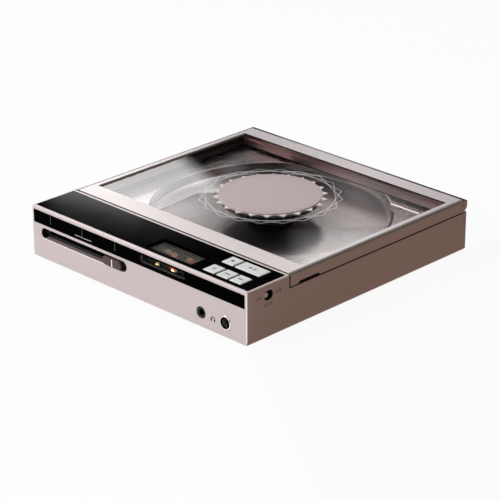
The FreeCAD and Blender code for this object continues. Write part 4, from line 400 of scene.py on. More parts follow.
# Boxes of nodes in millimetres
GLASS_LOW, GLASS_HIGH = (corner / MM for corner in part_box("lid_glass"))
LID_LOW, LID_HIGH = (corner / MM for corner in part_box("lid_frame"))
CASE_LOW, CASE_HIGH = (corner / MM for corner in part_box("chassis_frame"))
HUB_LOW, HUB_HIGH = (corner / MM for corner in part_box("turntable_hub"))
SPINDLE = (HUB_LOW + HUB_HIGH) / 2

# Zones of the case. A zone reaches PAST an outer face that it takes, and ends a SKIN below one it leaves.
PAST = 0.1
SKIN = 0.05
SEAM = 0.6
RIM = LID_LOW.z - SEAM
LIP_DEEP = 0.26
EDGE = 0.45
SLIDE_SLOT = ((-70, CASE_LOW.y + LIP_DEEP, 12.15), (-4, CASE_LOW.y + 6, 17.7))
LOCK_SLOT = ((CASE_HIGH.x - 4, -67.6, 19.5), (CASE_HIGH.x - SKIN, -61.0, 24.9))
VALVE_ROOM = ((2.0, CASE_LOW.y + 1.3, 15.0), (36.0, -60.0, 26.35))
SLOT_LIP = ((-68.5, CASE_LOW.y - PAST, 11.8), (-6.0, CASE_LOW.y + LIP_DEEP, 12.2))
RIGHT_RIM = ((CASE_HIGH.x - 0.6, -50.0, RIM - 0.15), (CASE_HIGH.x + PAST, CASE_HIGH.y, RIM + PAST))
FRONT_EDGE = (
    (CASE_HIGH.x - EDGE, CASE_LOW.y - PAST, CASE_LOW.z),
    (CASE_HIGH.x + PAST, CASE_LOW.y + EDGE, CASE_HIGH.z))
CASE_ZONES = (
    # Painted shade in the slide and lock slots and in the valve room
    (*SLIDE_SLOT, *PAINTED_SHADE),
    (*LOCK_SLOT, *PAINTED_SHADE),
    (*VALVE_ROOM, *PAINTED_SHADE),
    # A painted highlight along the slot's lower lip
    (*SLOT_LIP, *LIP_HIGHLIGHT),
    # Painted shadow in the seam under the lid's right edge
    (*RIGHT_RIM, *PAINTED_SHADE),
    # A painted highlight down the front right edge
    (*FRONT_EDGE, *EDGE_HIGHLIGHT),
)

# Zones of the lid frame
BESIDE = 0.2
UNDER_LID = 20
OVER_LID = LID_HIGH.z + PAST
SLOPE_LOW = LID_HIGH.z - 0.65
SLOPE_FRONT = LID_LOW.y + 0.6
SIDE_SLOPE = 1.9
SIDE_SLOPE_FOOT = 0.95
REAR_SLOPE = 2.7
WALLS_LOW = (GLASS_LOW.x - BESIDE, GLASS_LOW.y - BESIDE, UNDER_LID)
LID_TOP = ((LID_LOW.x, LID_LOW.y, LID_HIGH.z - SKIN), (LID_HIGH.x, LID_HIGH.y, OVER_LID))
INNER_WALLS = (WALLS_LOW, (GLASS_HIGH.x + BESIDE, GLASS_HIGH.y + BESIDE, GLASS_HIGH.z))
LEFT_WALL_REAR = (
    (GLASS_LOW.x - BESIDE, 24.0, UNDER_LID), (GLASS_LOW.x + 1.2, GLASS_HIGH.y - 1.1, GLASS_HIGH.z))
REAR_REBATE = (
    (GLASS_LOW.x, GLASS_HIGH.y - BESIDE, GLASS_HIGH.z),
    (GLASS_HIGH.x, GLASS_HIGH.y + BESIDE, LID_HIGH.z - SKIN))
WALLS_FOOT = (WALLS_LOW, (GLASS_HIGH.x + BESIDE, GLASS_HIGH.y + BESIDE, LID_LOW.z + 0.6))
FRONT_BEVEL = (
    (LID_LOW.x, LID_LOW.y - PAST, LID_HIGH.z - 0.6), (LID_HIGH.x, LID_LOW.y + 0.4, LID_HIGH.z - 0.04))
FINGER_NOTCH = ((72.0, -45.2, LID_LOW.z - PAST), (LID_HIGH.x - 0.04, -28.8, LID_LOW.z + 1.15))
LEFT_SLOPE = ((LID_LOW.x, SLOPE_FRONT, SLOPE_LOW), (LID_LOW.x + SIDE_SLOPE, LID_HIGH.y, OVER_LID))
RIGHT_SLOPE = ((LID_HIGH.x - SIDE_SLOPE, SLOPE_FRONT, SLOPE_LOW), (LID_HIGH.x, LID_HIGH.y, OVER_LID))
RIGHT_SLOPE_FOOT = (
    (LID_HIGH.x - SIDE_SLOPE_FOOT, SLOPE_FRONT, SLOPE_LOW), (LID_HIGH.x + PAST, LID_HIGH.y, LID_HIGH.z))
REAR_EDGE = ((LID_LOW.x, LID_HIGH.y - REAR_SLOPE, SLOPE_LOW), (LID_HIGH.x, LID_HIGH.y, OVER_LID))
LID_ZONES = (
    # The top painted lighter, as lit from above
    (*LID_TOP, *TOP_PAINTED_LIGHT),
    # Inner walls painted darker as shade
    (*INNER_WALLS, *INNER_WALL_SHADE),
    # The rear of the left wall painted darker as shade
    (*LEFT_WALL_REAR, *LEFT_WALL_SHADE),
    # Painted shadow in the glass's rear rebate, at the walls' foot, on the front bevel and in the finger
    # notch
    (*REAR_REBATE, *PAINTED_SHADE),
    (*WALLS_FOOT, *PAINTED_SHADE),
    (*FRONT_BEVEL, *PAINTED_SHADE),
    (*FINGER_NOTCH, *PAINTED_SHADE),
    (*LEFT_SLOPE, *DIAMOND_CUT),
    # The right slope painted darker as shade
    (*RIGHT_SLOPE, *RIGHT_SLOPE_SHADE),
    # The foot of the right slope painted dark as shadow
    (*RIGHT_SLOPE_FOOT, *SLOPE_FOOT_SHADOW),
    (*REAR_EDGE, *DIAMOND_CUT),
)

# The bead of the well is painted brighter at its rear right, as a highlight
BEAD_ZONES = (((24, 55, 20), (50, 80, 22), *BEAD_HIGHLIGHT),)

# The heaters seen through the front window, and the places under the top window that glow as well
HEATERS = ((9.3, -72.5, 19.3), (20.1, -72.5, 19.9))
GLOWS = HEATERS + ((8.3, -64.0, 24.0), (13.3, -64.9, 24.0), (23.2, -63.9, 24.0))
# How far and how bright the anode's painted glow spreads round each of these places
PAINTED_GLOW_REACH = 3.5
PAINTED_GLOW_STRENGTH = 1.6

ROSE = ("#CDBEBD", "#C8B8B7", 0.4, 0.42, 1.0)
FINISHES = {
    "rose_anodised_aluminium": blasted_metal("rose_anodised_aluminium", *ROSE),
    "grey_deck_aluminium": satin_deck(),
    "disc_cap_aluminium": blasted_metal("rose_cap_aluminium", "#C2B2AF", "#BDACA9", 0.4, 0.5),
    "pale_trim_steel": brushed_metal("pale_trim_steel", "#F2E9E4", "#E6DBD6", 0.35, 0.3, 0.4, 0),
    "black_panel_glass": black_glass("black_top_glass", 0.038, 0.09),
    "clear_lid_glass": clear_glass("clear_lid_glass", "#F8F7F7", 1.5),
    "clear_window": clear_glass("coated_window", "#E4E4E2", 1.12),
    "tube_glass": clear_glass("valve_glass", "#F0F2EF", 1.45),
    "lens_glass": coated_lens(),
    "tube_metal": brushed_metal("valve_nickel", "#8B827C", "#6A625D", 0.8, 0.4, 0.3, 0),
    "silver_buttons": brushed_metal("silver_key_metal", "#DBDAD6", "#D0CFCB", 0.3, 0.42, 0.5, 0),
    "bronze_knob": blasted_metal("bronze_anodised_knob", "#574340", "#4B3935", 0.5, 0.36),
    "pale_knob": blasted_metal("pale_anodised_knob", "#F0E9E5", "#E6DED9", 0.3, 0.4),
    "gold_ring": brushed_metal("pale_gold_plating", "#F8F4EC", "#EFE8DC", 0.8, 0.22, 0.3, 0),
    "black_plastic": moulded("black_moulded_plastic", "#101011", "#0A0A0B", 0.5, 0.6),
    "black_rubber": moulded("black_rubber", "#0C0C0C", "#070707", 0.8, 0.8),
    "circuit_board": solder_mask(),
    "battery_wrap": moulded("heat_shrunk_wrap", "#24324C", "#1C2A44", 0.4, 6.0),
    "plain_steel": brushed_metal("ground_steel", "#B9B8B5", "#A3A29F", 1.0, 0.28, 0.3, 2),
    "motor_can": brushed_metal("zinc_plated_can", "#B4B6B8", "#9C9EA0", 1.0, 0.34, 0.4, 2),
    "bright_plating": brushed_metal("nickel_plating", "#D9D6D0", "#CBC8C2", 1.0, 0.2, 0.3, 1),
}
INK_DARK = ink("dark_key_ink", "#3C3C3E", 0.6)
INK_GREY = ink("grey_panel_ink", "#48494A", 0.6)
INK_WHITE = ink("white_panel_ink", "#F2F1EF", 0.6)
INK_SILVER = ink("silver_panel_ink", "#A4A4A4", 0.6)
INK_ETCHED = ink("etched_lettering", "#3A2C27", 0.6)
INK_SIGN = ink("dark_etched_sign", "#1E1715", 0.6)
INK_GLASS = ink("white_glass_ink", "#F4F1EF", 0.6)
HEATER = hot_metal("amber_heater", "#FFB055", 6.0)
SLEEVE = hot_metal("red_hot_sleeve", "#B8300C", 1.0)
BEAD_METAL = blasted_metal("polished_bead", "#E9E2E0", "#DED6D4", 1.0, 0.16, zones=BEAD_ZONES)
# A sheenless black: the large jack's black body, and painted shade round the lock knob and in the jack's
# mouth
SHADE_AND_JACK_BLACK = black_glass("jack_black_and_painted_shade", 0.0, 0.5, index=1.0)
# A sheenless black, painted as shadow along the recess's edge
RECESS_SHADOW_BLACK = black_glass("painted_recess_shadow", 0.0, 0.5, index=1.0)
CLOTH = brushed_metal("woven_steel_cloth", "#9C9A99", "#807E7D", 0.5, 0.45, 0.5, 0)

# Each node takes its slot's finish, except those with one of their own
SLOTS = {part["node"]: part["material_slot"] for part in frame["record"]["subparts"]}
OWN_FINISHES = {
    "chassis_frame": blasted_metal("rose_case", *ROSE, zones=CASE_ZONES),
    "lid_frame": blasted_metal("rose_lid_frame", *ROSE, zones=LID_ZONES),
    # The large jack's black is sheenless, so that its hole reads as painted shade
    "headphone_jack_large": SHADE_AND_JACK_BLACK,
    "tube_electrodes": anode_with_painted_glow(),
    "front_panel": black_glass("black_front_glass", 0.005, 0.09),
}
for node, slot in SLOTS.items():
    frame["nodes"][node].data.materials[0] = OWN_FINISHES.get(node, FINISHES[slot])


# Printed marks

INK_THICK = 0.05
INK_SUNK = 0.03
FRONT = CASE_LOW.y * MM
RIGHT_SIDE = CASE_HIGH.x * MM


def on_top(node):
    """A frame in the middle of a node's top face."""
    low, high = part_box(node)
    middle = Vector(((low.x + high.x) / 2, (low.y + high.y) / 2, high.z - INK_SUNK * MM))
    return place_on(middle, RIGHT, REARWARD)


def on_front(x, z, y=FRONT):
    """A frame on a face that looks to the front."""
    return place_on(Vector((x * MM, y + INK_SUNK * MM, z * MM)), RIGHT, UP)


def on_right(y, z):
    """A frame on the case's right face."""
    return place_on(Vector((RIGHT_SIDE - INK_SUNK * MM, y * MM, z * MM)), REARWARD, UP)


def triangle(base, tip, half):
    """A triangle that points to the right, or to the left where its tip is left of its base."""
    corners = [(base, -half), (tip, 0), (base, half)]
    return corners if tip > base else corners[::-1]


# Common signs on the keys, about the middle of each
KEY_SIGNS = {
    "stop": [rectangle(-0.8, -0.8, 0.8, 0.8)],
    "play": [triangle(-2.0, 0.1, 1.0), rectangle(0.7, -0.95, 1.2, 0.95), rectangle(1.7, -0.95, 2.2, 0.95)],
    "menu": [rectangle(-1.1, level - 0.14, 1.1, level + 0.14) for level in (-0.7, 0.0, 0.7)],
    "previous": [rectangle(-1.6, -0.8, -1.3, 0.8), triangle(0.1, -1.2, 0.8), triangle(1.4, 0.1, 0.8)],
    "next": [rectangle(1.3, -0.8, 1.6, 0.8), triangle(-0.1, 1.2, 0.8), triangle(-1.4, -0.1, 0.8)],
}
for key, shapes in KEY_SIGNS.items():
    bm = bmesh.new()
    for shape in shapes:
        add_plate(bm, shape, on_top(f"button_{key}"), INK_THICK)
    new_piece(f"key_sign_{key}", bm, INK_DARK, f"{key}_key")

# Three marks over the slot on the front panel, and a bar under the middle one
FASCIA_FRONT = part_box("front_panel")[0].y
MARK = rectangle(-0.17, -2.0, 0.17, 2.0)
MARKS_X = (-61.2, -37.65, -13.9)
MARKS_Z = 23.2
BAR = rectangle(-6.0, -0.2, 6.0, 0.2)
BAR_X, BAR_Z = -37.0, 21.1
bm = bmesh.new()
for mark_x in MARKS_X:
    add_plate(bm, MARK, on_front(mark_x, MARKS_Z, FASCIA_FRONT), INK_THICK)
new_piece("slide_marks", bm, INK_GREY, "case")
bm = bmesh.new()
add_plate(bm, BAR, on_front(BAR_X, BAR_Z, FASCIA_FRONT), INK_THICK)
new_piece("slide_bar", bm, INK_SILVER, "case")

# The pointer on the slide knob
KNOB_LOW, KNOB_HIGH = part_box("slider_knob")
POINTER_X = -15.15
POINTER_HALF = 0.35
POINTER_INSET = 0.35
knob_z = (KNOB_LOW.z + KNOB_HIGH.z) / MM / 2
pointer_reach = (KNOB_HIGH.z - KNOB_LOW.z) / MM / 2 - POINTER_INSET
bm = bmesh.new()
add_plate(bm, rectangle(-POINTER_HALF, -pointer_reach, POINTER_HALF, pointer_reach),
          on_front(POINTER_X, knob_z, KNOB_LOW.y), INK_THICK)
new_piece("slide_pointer", bm, INK_WHITE, "slider")

# The headphones sign between the jacks
BAND_RADIUS = 1.1
BAND_WIDE = 0.45
CUP_HALF = 0.45
CUP_LONG = 1.2
PHONES_X, PHONES_Z = 53.1, 7.5
HEADBAND = [
    (BAND_RADIUS * math.cos(math.radians(turn)), BAND_RADIUS * math.sin(math.radians(turn)))
    for turn in range(0, 181, 20)]
bm = bmesh.new()
phones = on_front(PHONES_X, PHONES_Z)
for start, end in zip(HEADBAND, HEADBAND[1:]):
    add_line(bm, start, end, BAND_WIDE, phones, INK_THICK)
for cup_x in (-BAND_RADIUS, BAND_RADIUS):
    add_plate(bm, rectangle(cup_x - CUP_HALF, -CUP_LONG, cup_x + CUP_HALF, 0.0), phones, INK_THICK)
new_piece("headphones_sign", bm, INK_SIGN, "case")

# The words round the lock knob. A capital is about 0.7 of the font's size.
CAPITAL = 0.7
WORD_HEIGHT = 1.5
LOCK_WORDS = (
    ("lock_word_on", "ON", -70.7, 22.3),
    ("lock_word_off", "OFF", -57.6, 22.2),
    ("lock_word", "LOCK", -64.2, 17.6),
)


def word(name, letters, height, place, material, body):
    """A word in plain capitals, made a mesh and then set on its face."""
    curve = bpy.data.curves.new(name, "FONT")
    curve.body = letters
    curve.size = height * MM / CAPITAL
    curve.align_x = "CENTER"
    curve.align_y = "CENTER"
    curve.resolution_u = 3
    curve.extrude = INK_THICK * MM / 2
    text_object = bpy.data.objects.new(name, curve)
    bpy.context.scene.collection.objects.link(text_object)
    depsgraph = bpy.context.evaluated_depsgraph_get()
    drawn = bpy.data.meshes.new_from_object(text_object.evaluated_get(depsgraph))
    bpy.data.objects.remove(text_object)
    bm = bmesh.new()
    bm.from_mesh(drawn)
    bmesh.ops.remove_doubles(bm, verts=bm.verts[:], dist=SAME_POINT)
    bmesh.ops.transform(bm, matrix=place @ Matrix.Translation((0, 0, curve.extrude)), verts=bm.verts[:])
    bpy.data.meshes.remove(drawn)
    new_piece(name, bm, material, body)


for name, letters, y, z in LOCK_WORDS:
    word(name, letters, WORD_HEIGHT, on_right(y, z), INK_ETCHED, "case")

# A sheenless black ring round the lock knob, painted as the shadow of the gap round it
LOCK_LOW, LOCK_HIGH = (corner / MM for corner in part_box("lock_knob"))
LOCK_RADIUS = (LOCK_HIGH.z - LOCK_LOW.z) / 2
LOCK_SHADOW_RING = flat_ring(0.0, LOCK_RADIUS - 0.35, INK_THICK, LOCK_RADIUS - 0.03)
LOCK_STEPS = 32
lock_face = Vector((
    LOCK_HIGH.x - INK_SUNK, (LOCK_LOW.y + LOCK_HIGH.y) / 2, (LOCK_LOW.z + LOCK_HIGH.z) / 2)) * MM
bm = bmesh.new()
add_turned(bm, LOCK_SHADOW_RING, Matrix.Translation(lock_face), LOCK_STEPS)
new_piece("lock_gap_shadow", bm, SHADE_AND_JACK_BLACK, "lock")

# A generic ring of crossing lines printed on the glass round the plain disc
RING_POINTS = 20
RING_STEP = 3
RING_RADIUS = 36.5
RING_LINE = 0.16
DISC_LOW, DISC_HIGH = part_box("emblem_disc")
GLASS_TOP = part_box("lid_glass")[1].z
disc_middle = Vector((
    (DISC_LOW.x + DISC_HIGH.x) / 2, (DISC_LOW.y + DISC_HIGH.y) / 2, GLASS_TOP - INK_SUNK * MM))
on_glass = place_on(disc_middle, RIGHT, REARWARD)
ring_points = [
    (RING_RADIUS * math.cos(math.tau * k / RING_POINTS), RING_RADIUS * math.sin(math.tau * k / RING_POINTS))
    for k in range(RING_POINTS)]
bm = bmesh.new()
for k in range(RING_POINTS):
    add_line(bm, ring_points[k], ring_points[(k + RING_STEP) % RING_POINTS], RING_LINE, on_glass, INK_THICK)
new_piece("glass_ring_lines", bm, INK_GLASS, "lid")


# Black rubber strips that fill the lid's gaps at both sides and at the front, as painted shadow in the gaps

GAP_FILL_INNER, GAP_FILL_OUTER = 72.7, 74.9
GAP_FILL_REAR = 71.0
GAP_FILL_THICK = 0.4
FRONT_FILL_HALF = 74.95
FRONT_FILL_TOP = 27.74
FRONT_FILL_FAR, FRONT_FILL_NEAR = 0.86, 0.06
bm = bmesh.new()
for side in (-1, 1):
    left, right = sorted((side * GAP_FILL_INNER, side * GAP_FILL_OUTER))
    add_block(bm, (left, LID_LOW.y, RIM), (right, GAP_FILL_REAR, RIM + GAP_FILL_THICK))
add_block(bm, (-FRONT_FILL_HALF, LID_LOW.y - FRONT_FILL_FAR, RIM),
          (FRONT_FILL_HALF, LID_LOW.y - FRONT_FILL_NEAR, FRONT_FILL_TOP))
new_piece("lid_gap_shadow", bm, FINISHES["black_rubber"], "case")


# A rolled bead round the well's edge, except at the finger recess, and a painted shadow along the recess's
# lower edge

WELL_RADIUS = 61.0
BEAD_RADIUS = 0.22
BEAD_OUT = 0.45
BEAD_SIDES = 8
BEAD_FROM, BEAD_TO = 50, 362
RECESS_FROM, RECESS_TO = 6, 46
RECESS_DEEP = 3.1
RECESS_EDGE = 1.1
ARC_STEP = 2
DECK_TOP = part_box("disc_deck")[1].z / MM


def round_spindle(radius, turn, z):
    """A point in millimetres at a turn in degrees about the spindle."""
    return Vector((
        SPINDLE.x + radius * math.cos(math.radians(turn)),
        SPINDLE.y + radius * math.sin(math.radians(turn)), z))


bm = bmesh.new()
section = [
    (math.cos(math.tau * k / BEAD_SIDES) * BEAD_RADIUS, math.sin(math.tau * k / BEAD_SIDES) * BEAD_RADIUS)
    for k in range(BEAD_SIDES)]
rings = [
    [bm.verts.new(round_spindle(WELL_RADIUS + BEAD_OUT + across, turn, DECK_TOP + up) * MM)
     for across, up in section]
    for turn in range(BEAD_FROM, BEAD_TO + 1, ARC_STEP)]
for near, far in zip(rings, rings[1:]):
    for k in range(BEAD_SIDES):
        following = (k + 1) % BEAD_SIDES
        bm.faces.new((near[k], near[following], far[following], far[k]))
for end in (rings[0], rings[-1]):
    bm.faces.new(end)
new_piece("well_bead", bm, BEAD_METAL, "case")

# A sheenless black strip on the recess floor by the well's edge, as painted shadow
bm = bmesh.new()
recess_floor = DECK_TOP - RECESS_DEEP
arc = range(RECESS_FROM, RECESS_TO + 1, ARC_STEP)
inner = [round_spindle(WELL_RADIUS, turn, 0).xy for turn in arc]
outer = [round_spindle(WELL_RADIUS + RECESS_EDGE, turn, 0).xy for turn in arc]
add_plate(bm, outer + inner[::-1], Matrix.Translation((0, 0, (recess_floor - INK_SUNK) * MM)), INK_THICK)
new_piece("recess_shadow_strip", bm, RECESS_SHADOW_BLACK, "case")


# The valves behind their windows

# A wire cloth under the top window. Real wires are about 0.1 mm wide and 0.4 mm apart. They are drawn
# coarser, so that they show.
WIRE = 0.08
WIRE_WIDE = 0.5
WIRE_PITCH = 1.8
CLOTH_INSET = 0.2
WINDOW_LOW, WINDOW_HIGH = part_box("tube_window_top")
cloth_low = WINDOW_LOW / MM + Vector((CLOTH_INSET, CLOTH_INSET, -2 * WIRE))
cloth_high = WINDOW_HIGH / MM - Vector((CLOTH_INSET, CLOTH_INSET, 0))
bm = bmesh.new()
for k in range(int((cloth_high.x - cloth_low.x) / WIRE_PITCH) + 1):
    x = cloth_low.x + k * WIRE_PITCH
    add_block(bm, (x, cloth_low.y, cloth_low.z), (x + WIRE_WIDE, cloth_high.y, cloth_low.z + WIRE))
for k in range(int((cloth_high.y - cloth_low.y) / WIRE_PITCH) + 1):
    y = cloth_low.y + k * WIRE_PITCH
    add_block(bm, (cloth_low.x, y, cloth_low.z + WIRE), (cloth_high.x, y + WIRE_WIDE, cloth_low.z + 2 * WIRE))
new_piece("window_cloth", bm, CLOTH, "case")

# Blown envelopes with a rounded foot and a drawn tip, in place of the plain tubes
TUBE_LOW, TUBE_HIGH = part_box("tube_envelopes")
TUBE_RADIUS = (TUBE_HIGH.z - TUBE_LOW.z) / MM / 2
TUBE_LENGTH = (TUBE_HIGH.x - TUBE_LOW.x) / MM
TUBE_Z = (TUBE_LOW.z + TUBE_HIGH.z) / 2
TUBE_AXES = (TUBE_LOW.y + TUBE_RADIUS * MM, TUBE_HIGH.y - TUBE_RADIUS * MM)
TUBE_STEPS = 32
TUBE_FOOT = [(0.0, 0.0), (0.0, 0.9), (0.5, 1.6), (1.2, 2.5), (2.2, 3.0), (3.4, TUBE_RADIUS)]
TUBE_TIP = [(3.6, TUBE_RADIUS), (2.2, 2.9), (1.2, 2.1), (0.6, 1.1), (0.3, 0.5), (0.0, 0.0)]
TUBE_WALL = TUBE_FOOT + [(TUBE_LENGTH - before_end, radius) for before_end, radius in TUBE_TIP]
bm = bmesh.new()
for axis_y in TUBE_AXES:
    add_turned(bm, TUBE_WALL, Matrix.Translation((TUBE_LOW.x, axis_y, TUBE_Z)), TUBE_STEPS)
envelopes = new_piece("valve_envelopes", bm, FINISHES["tube_glass"], "case")
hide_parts("tube_envelopes")

# Glowing heaters, and red-hot sleeves behind them and under the top window
HEATER_BEAD = [(-1.0, 0.0), (-0.9, 0.3), (-0.5, 0.6), (0.0, 0.7), (0.5, 0.6), (0.9, 0.3), (1.0, 0.0)]
SLEEVE_BEAD = [(-1.9, 0.0), (-1.7, 0.5), (-1.0, 0.95), (0.0, 1.1), (1.0, 0.95), (1.7, 0.5), (1.9, 0.0)]
SLEEVE_BEHIND = 0.7
HEATER_STEPS = 12
for name, places, bead, material, behind in (
        ("valve_heaters", HEATERS, HEATER_BEAD, HEATER, 0.0),
        ("valve_sleeves", GLOWS, SLEEVE_BEAD, SLEEVE, SLEEVE_BEHIND)):
    bm = bmesh.new()
    for glow in places:
        inward = REARWARD if glow[1] < TUBE_AXES[0] / MM else -UP
        add_turned(bm, bead, Matrix.Translation((Vector(glow) + inward * behind) * MM), HEATER_STEPS)
    new_piece(name, bm, material, "case")


# A sheenless black collar inside the large jack's ring, painted as shade in the jack's mouth

SHADE_COLLAR = flat_ring(-0.3, 2.1, 0.05, 2.95)
SHADE_COLLAR_STEPS = 48
RING_LOW, RING_HIGH = (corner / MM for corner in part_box("jack_ring"))
outwards = Matrix(((0, 1, 0), (-1, 0, 0), (0, 0, 1))).to_4x4()
ring_face = Vector(((RING_LOW.x + RING_HIGH.x) / 2, RING_LOW.y, (RING_LOW.z + RING_HIGH.z) / 2)) * MM
bm = bmesh.new()
add_turned(bm, SHADE_COLLAR, Matrix.Translation(ring_face) @ outwards, SHADE_COLLAR_STEPS)
new_piece("jack_shade_collar", bm, SHADE_AND_JACK_BLACK, "case")


# Screws with hexagon sockets, in place of the plain ones

SCREW_EDGE = 0.12
SOCKET_DEEP = 0.45
SCREW_STEP = 15
# The plain node, the new piece, the way the head faces, then the head's radius and height and the radii of
# the shank and the socket
SCREWS = (
    ("cover_screws", "socket_cover_screws", -1, 1.4, 0.8, 0.8, 0.75),
    ("deck_screws", "socket_deck_screws", 1, 1.0, 0.7, 0.6, 0.55),
)


def add_screw(bm, middle, out, head, thick, shank, grip, socket):
    """A socket-head screw, drawn as rings from its shank's end over the head into the socket."""
    rings = (
        (-grip, shank, False), (0.0, shank, False), (0.0, head, False), (thick - SCREW_EDGE, head, False),
        (thick, head - SCREW_EDGE, False), (thick, socket, True), (thick - SOCKET_DEEP, socket, True))
    loops = []
    for level, radius, hexagonal in rings:
        loop = []
        for turn in range(0, 360, SCREW_STEP):
            reach = radius
            if hexagonal:
                reach = radius * math.cos(math.radians(30)) / math.cos(math.radians(turn % 60 - 30))
            spoke = Vector((math.cos(math.radians(turn)), math.sin(math.radians(turn)), 0)) * reach
            loop.append(bm.verts.new((middle + spoke + UP * level * out) * MM))
        loops.append(loop)
    for near, far in zip(loops, loops[1:]):
        for k in range(len(near)):
            bm.faces.new((near[k - 1], near[k], far[k], far[k - 1]))
    bm.faces.new(loops[0])
    bm.faces.new(loops[-1])


for node, name, out, head, thick, shank, socket in SCREWS:
    low, high = (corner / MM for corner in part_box(node))
    level = high.z - thick if out > 0 else low.z + thick
    bm = bmesh.new()
    for x in (low.x + head, high.x - head):
        for y in (low.y + head, high.y - head):
            add_screw(bm, Vector((x, y, level)), out, head, thick, shank, high.z - low.z - thick, socket)
    screws = new_piece(name, bm, FINISHES[SLOTS[node]], "case")
    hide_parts(node)


# Studio

FLOOR_RADIUS = 3.0
FLOOR_WHITE = 0.92
WORLD_ON_MATT = 0.2


def card_finish(name, colour, strength):
    """A finish for a card: an even light of a colour, or none."""
    material, tree = new_finish(name)
    show(tree, add(tree, "ShaderNodeEmission", {"Color": linear(colour), "Strength": strength}))
    return material


def card(name, corners, material):
    """A flat card with its corners in millimetres. As made here, only reflections see it."""
    bm = bmesh.new()
    bm.faces.new([bm.verts.new(Vector(corner) * MM) for corner in corners])
    made = new_object(name, bm, material)
    made.visible_camera = False
    made.visible_diffuse = False
    made.visible_transmission = False
    made.visible_shadow = False
    return made


def facing(azimuth):
    """The direction towards an azimuth, and the one to the right of it."""
    out = Vector((math.cos(math.radians(azimuth)), math.sin(math.radians(azimuth)), 0))
    return out, out.cross(UP)


def upright_card(name, azimuth, distance, outline, material):
    """An upright card that faces the player from a direction, its outline given along it and up it."""
    out, side = facing(azimuth)
    return card(name, [out * distance + side * along + UP * height for along, height in outline], material)


def fading_card(name, side, levels, edge, fade):
    """A finish for a card: its light changes between two places in millimetres, and fades past an edge."""
    material, tree = new_finish(name)
    place = add(tree, "ShaderNodeTexCoord").outputs["Object"]
    along = add(tree, "ShaderNodeVectorMath", {0: place, 1: side}, operation="DOT_PRODUCT")
    (start, first), (end, last) = levels
    level = add(tree, "ShaderNodeMapRange", {
        "Value": along.outputs["Value"], "From Min": start * MM, "From Max": end * MM,
        "To Min": first, "To Max": last})
    across = add(tree, "ShaderNodeVectorMath", {0: place, 1: edge}, operation="DOT_PRODUCT")
    cover = add(tree, "ShaderNodeMapRange", interpolation_type="SMOOTHSTEP", inputs={
        "Value": across.outputs["Value"], "From Min": fade[0] * MM, "From Max": fade[1] * MM,
        "To Min": 1.0, "To Max": 0.0})
    strength = add(tree, "ShaderNodeMath", {0: level.outputs[0], 1: cover.outputs[0]}, operation="MULTIPLY")
    show(tree, add(tree, "ShaderNodeEmission", {"Color": linear("#FFFFFF"), "Strength": strength.outputs[0]}))
    return material


def seen_clearly(tree):
    """One for what is seen directly, in reflections or through glass, and zero for light on matt surfaces."""
    path = add(tree, "ShaderNodeLightPath")
    seen = add(tree, "ShaderNodeMath", operation="MAXIMUM", inputs={
        0: path.outputs["Is Camera Ray"], 1: path.outputs["Is Glossy Ray"]})
    clear = add(tree, "ShaderNodeMath", operation="MAXIMUM", inputs={
        0: seen.outputs[0], 1: path.outputs["Is Transmission Ray"]})
    return clear.outputs[0]


def pale_floor():
    """A pale floor that stays white to the eye and in reflections, and keeps the player's soft shadow."""
    material, tree = new_finish("pale_studio_floor")
    share = add(tree, "ShaderNodeMath", {0: seen_clearly(tree), 1: FLOOR_WHITE}, operation="MULTIPLY")
    paper = add(tree, "ShaderNodeBsdfDiffuse", {"Color": linear("#F2F2F2")})
    glow = add(tree, "ShaderNodeEmission", {"Color": linear("#FFFFFF"), "Strength": 1.0})
    show(tree, add(tree, "ShaderNodeMixShader", {
        0: share.outputs[0], 1: paper.outputs[0], 2: glow.outputs[0]}))
    bm = bmesh.new()
    bmesh.ops.create_circle(bm, cap_ends=True, segments=64, radius=FLOOR_RADIUS)
    floor = new_object("studio_floor", bm, material)


def studio_world():
    """White to the eye, in reflections and through glass, and a quieter light on matt surfaces."""
    world = bpy.data.worlds.new("studio_world")
    world.use_nodes = True
    tree = world.node_tree
    tree.nodes.clear()
    level = add(tree, "ShaderNodeMapRange", {
        "Value": seen_clearly(tree), "To Min": WORLD_ON_MATT, "To Max": 1.0})
    sky = add(tree, "ShaderNodeBackground", {"Color": linear("#FFFFFF"), "Strength": level.outputs[0]})
    add(tree, "ShaderNodeOutputWorld", {"Surface": sky.outputs[0]})
    bpy.context.scene.world = world


def lamp(name, position, watts, size, colour):
    """A square softbox that faces the player, placed in metres, which reflections don't show."""
    light = bpy.data.lights.new(name, "AREA")
    light.energy = watts
    light.size = size
    light.color = linear(colour)[:3]
    made = bpy.data.objects.new(name, light)
    made.location = position
    made.rotation_euler = Vector(position).to_track_quat("Z", "Y").to_euler()
    made.visible_glossy = False
    bpy.context.scene.collection.objects.link(made)


pale_floor()
studio_world()
lamp("key_softbox", (-0.40, -0.95, 0.60), 9.3, 0.8, "#FFFFFF")
lamp("top_softbox", (0.0, 0.1, 1.1), 7.2, 0.9, "#F4F9FF")

BLACK_FLAG = card_finish("black_flag", "#000000", 0.0)
BROWN_CARD = card_finish("brown_card", "#8C7262", 1.0)
DARK_CARD = card_finish("dark_card", "#42352E", 1.0)
DUSKY_FLAG = card_finish("dusky_flag", "#DCC4C4", 1.0)
DIM_CARD = card_finish("dim_card", "#6E6E6C", 1.0)
LOW_BOX = card_finish("low_softbox", "#FFFFFF", 3.5)
HIGH_BOX = card_finish("high_softbox", "#FFFFFF", 2.0)
EDGE_BOX = card_finish("edge_softbox", "#FFFFFF", 4.0)

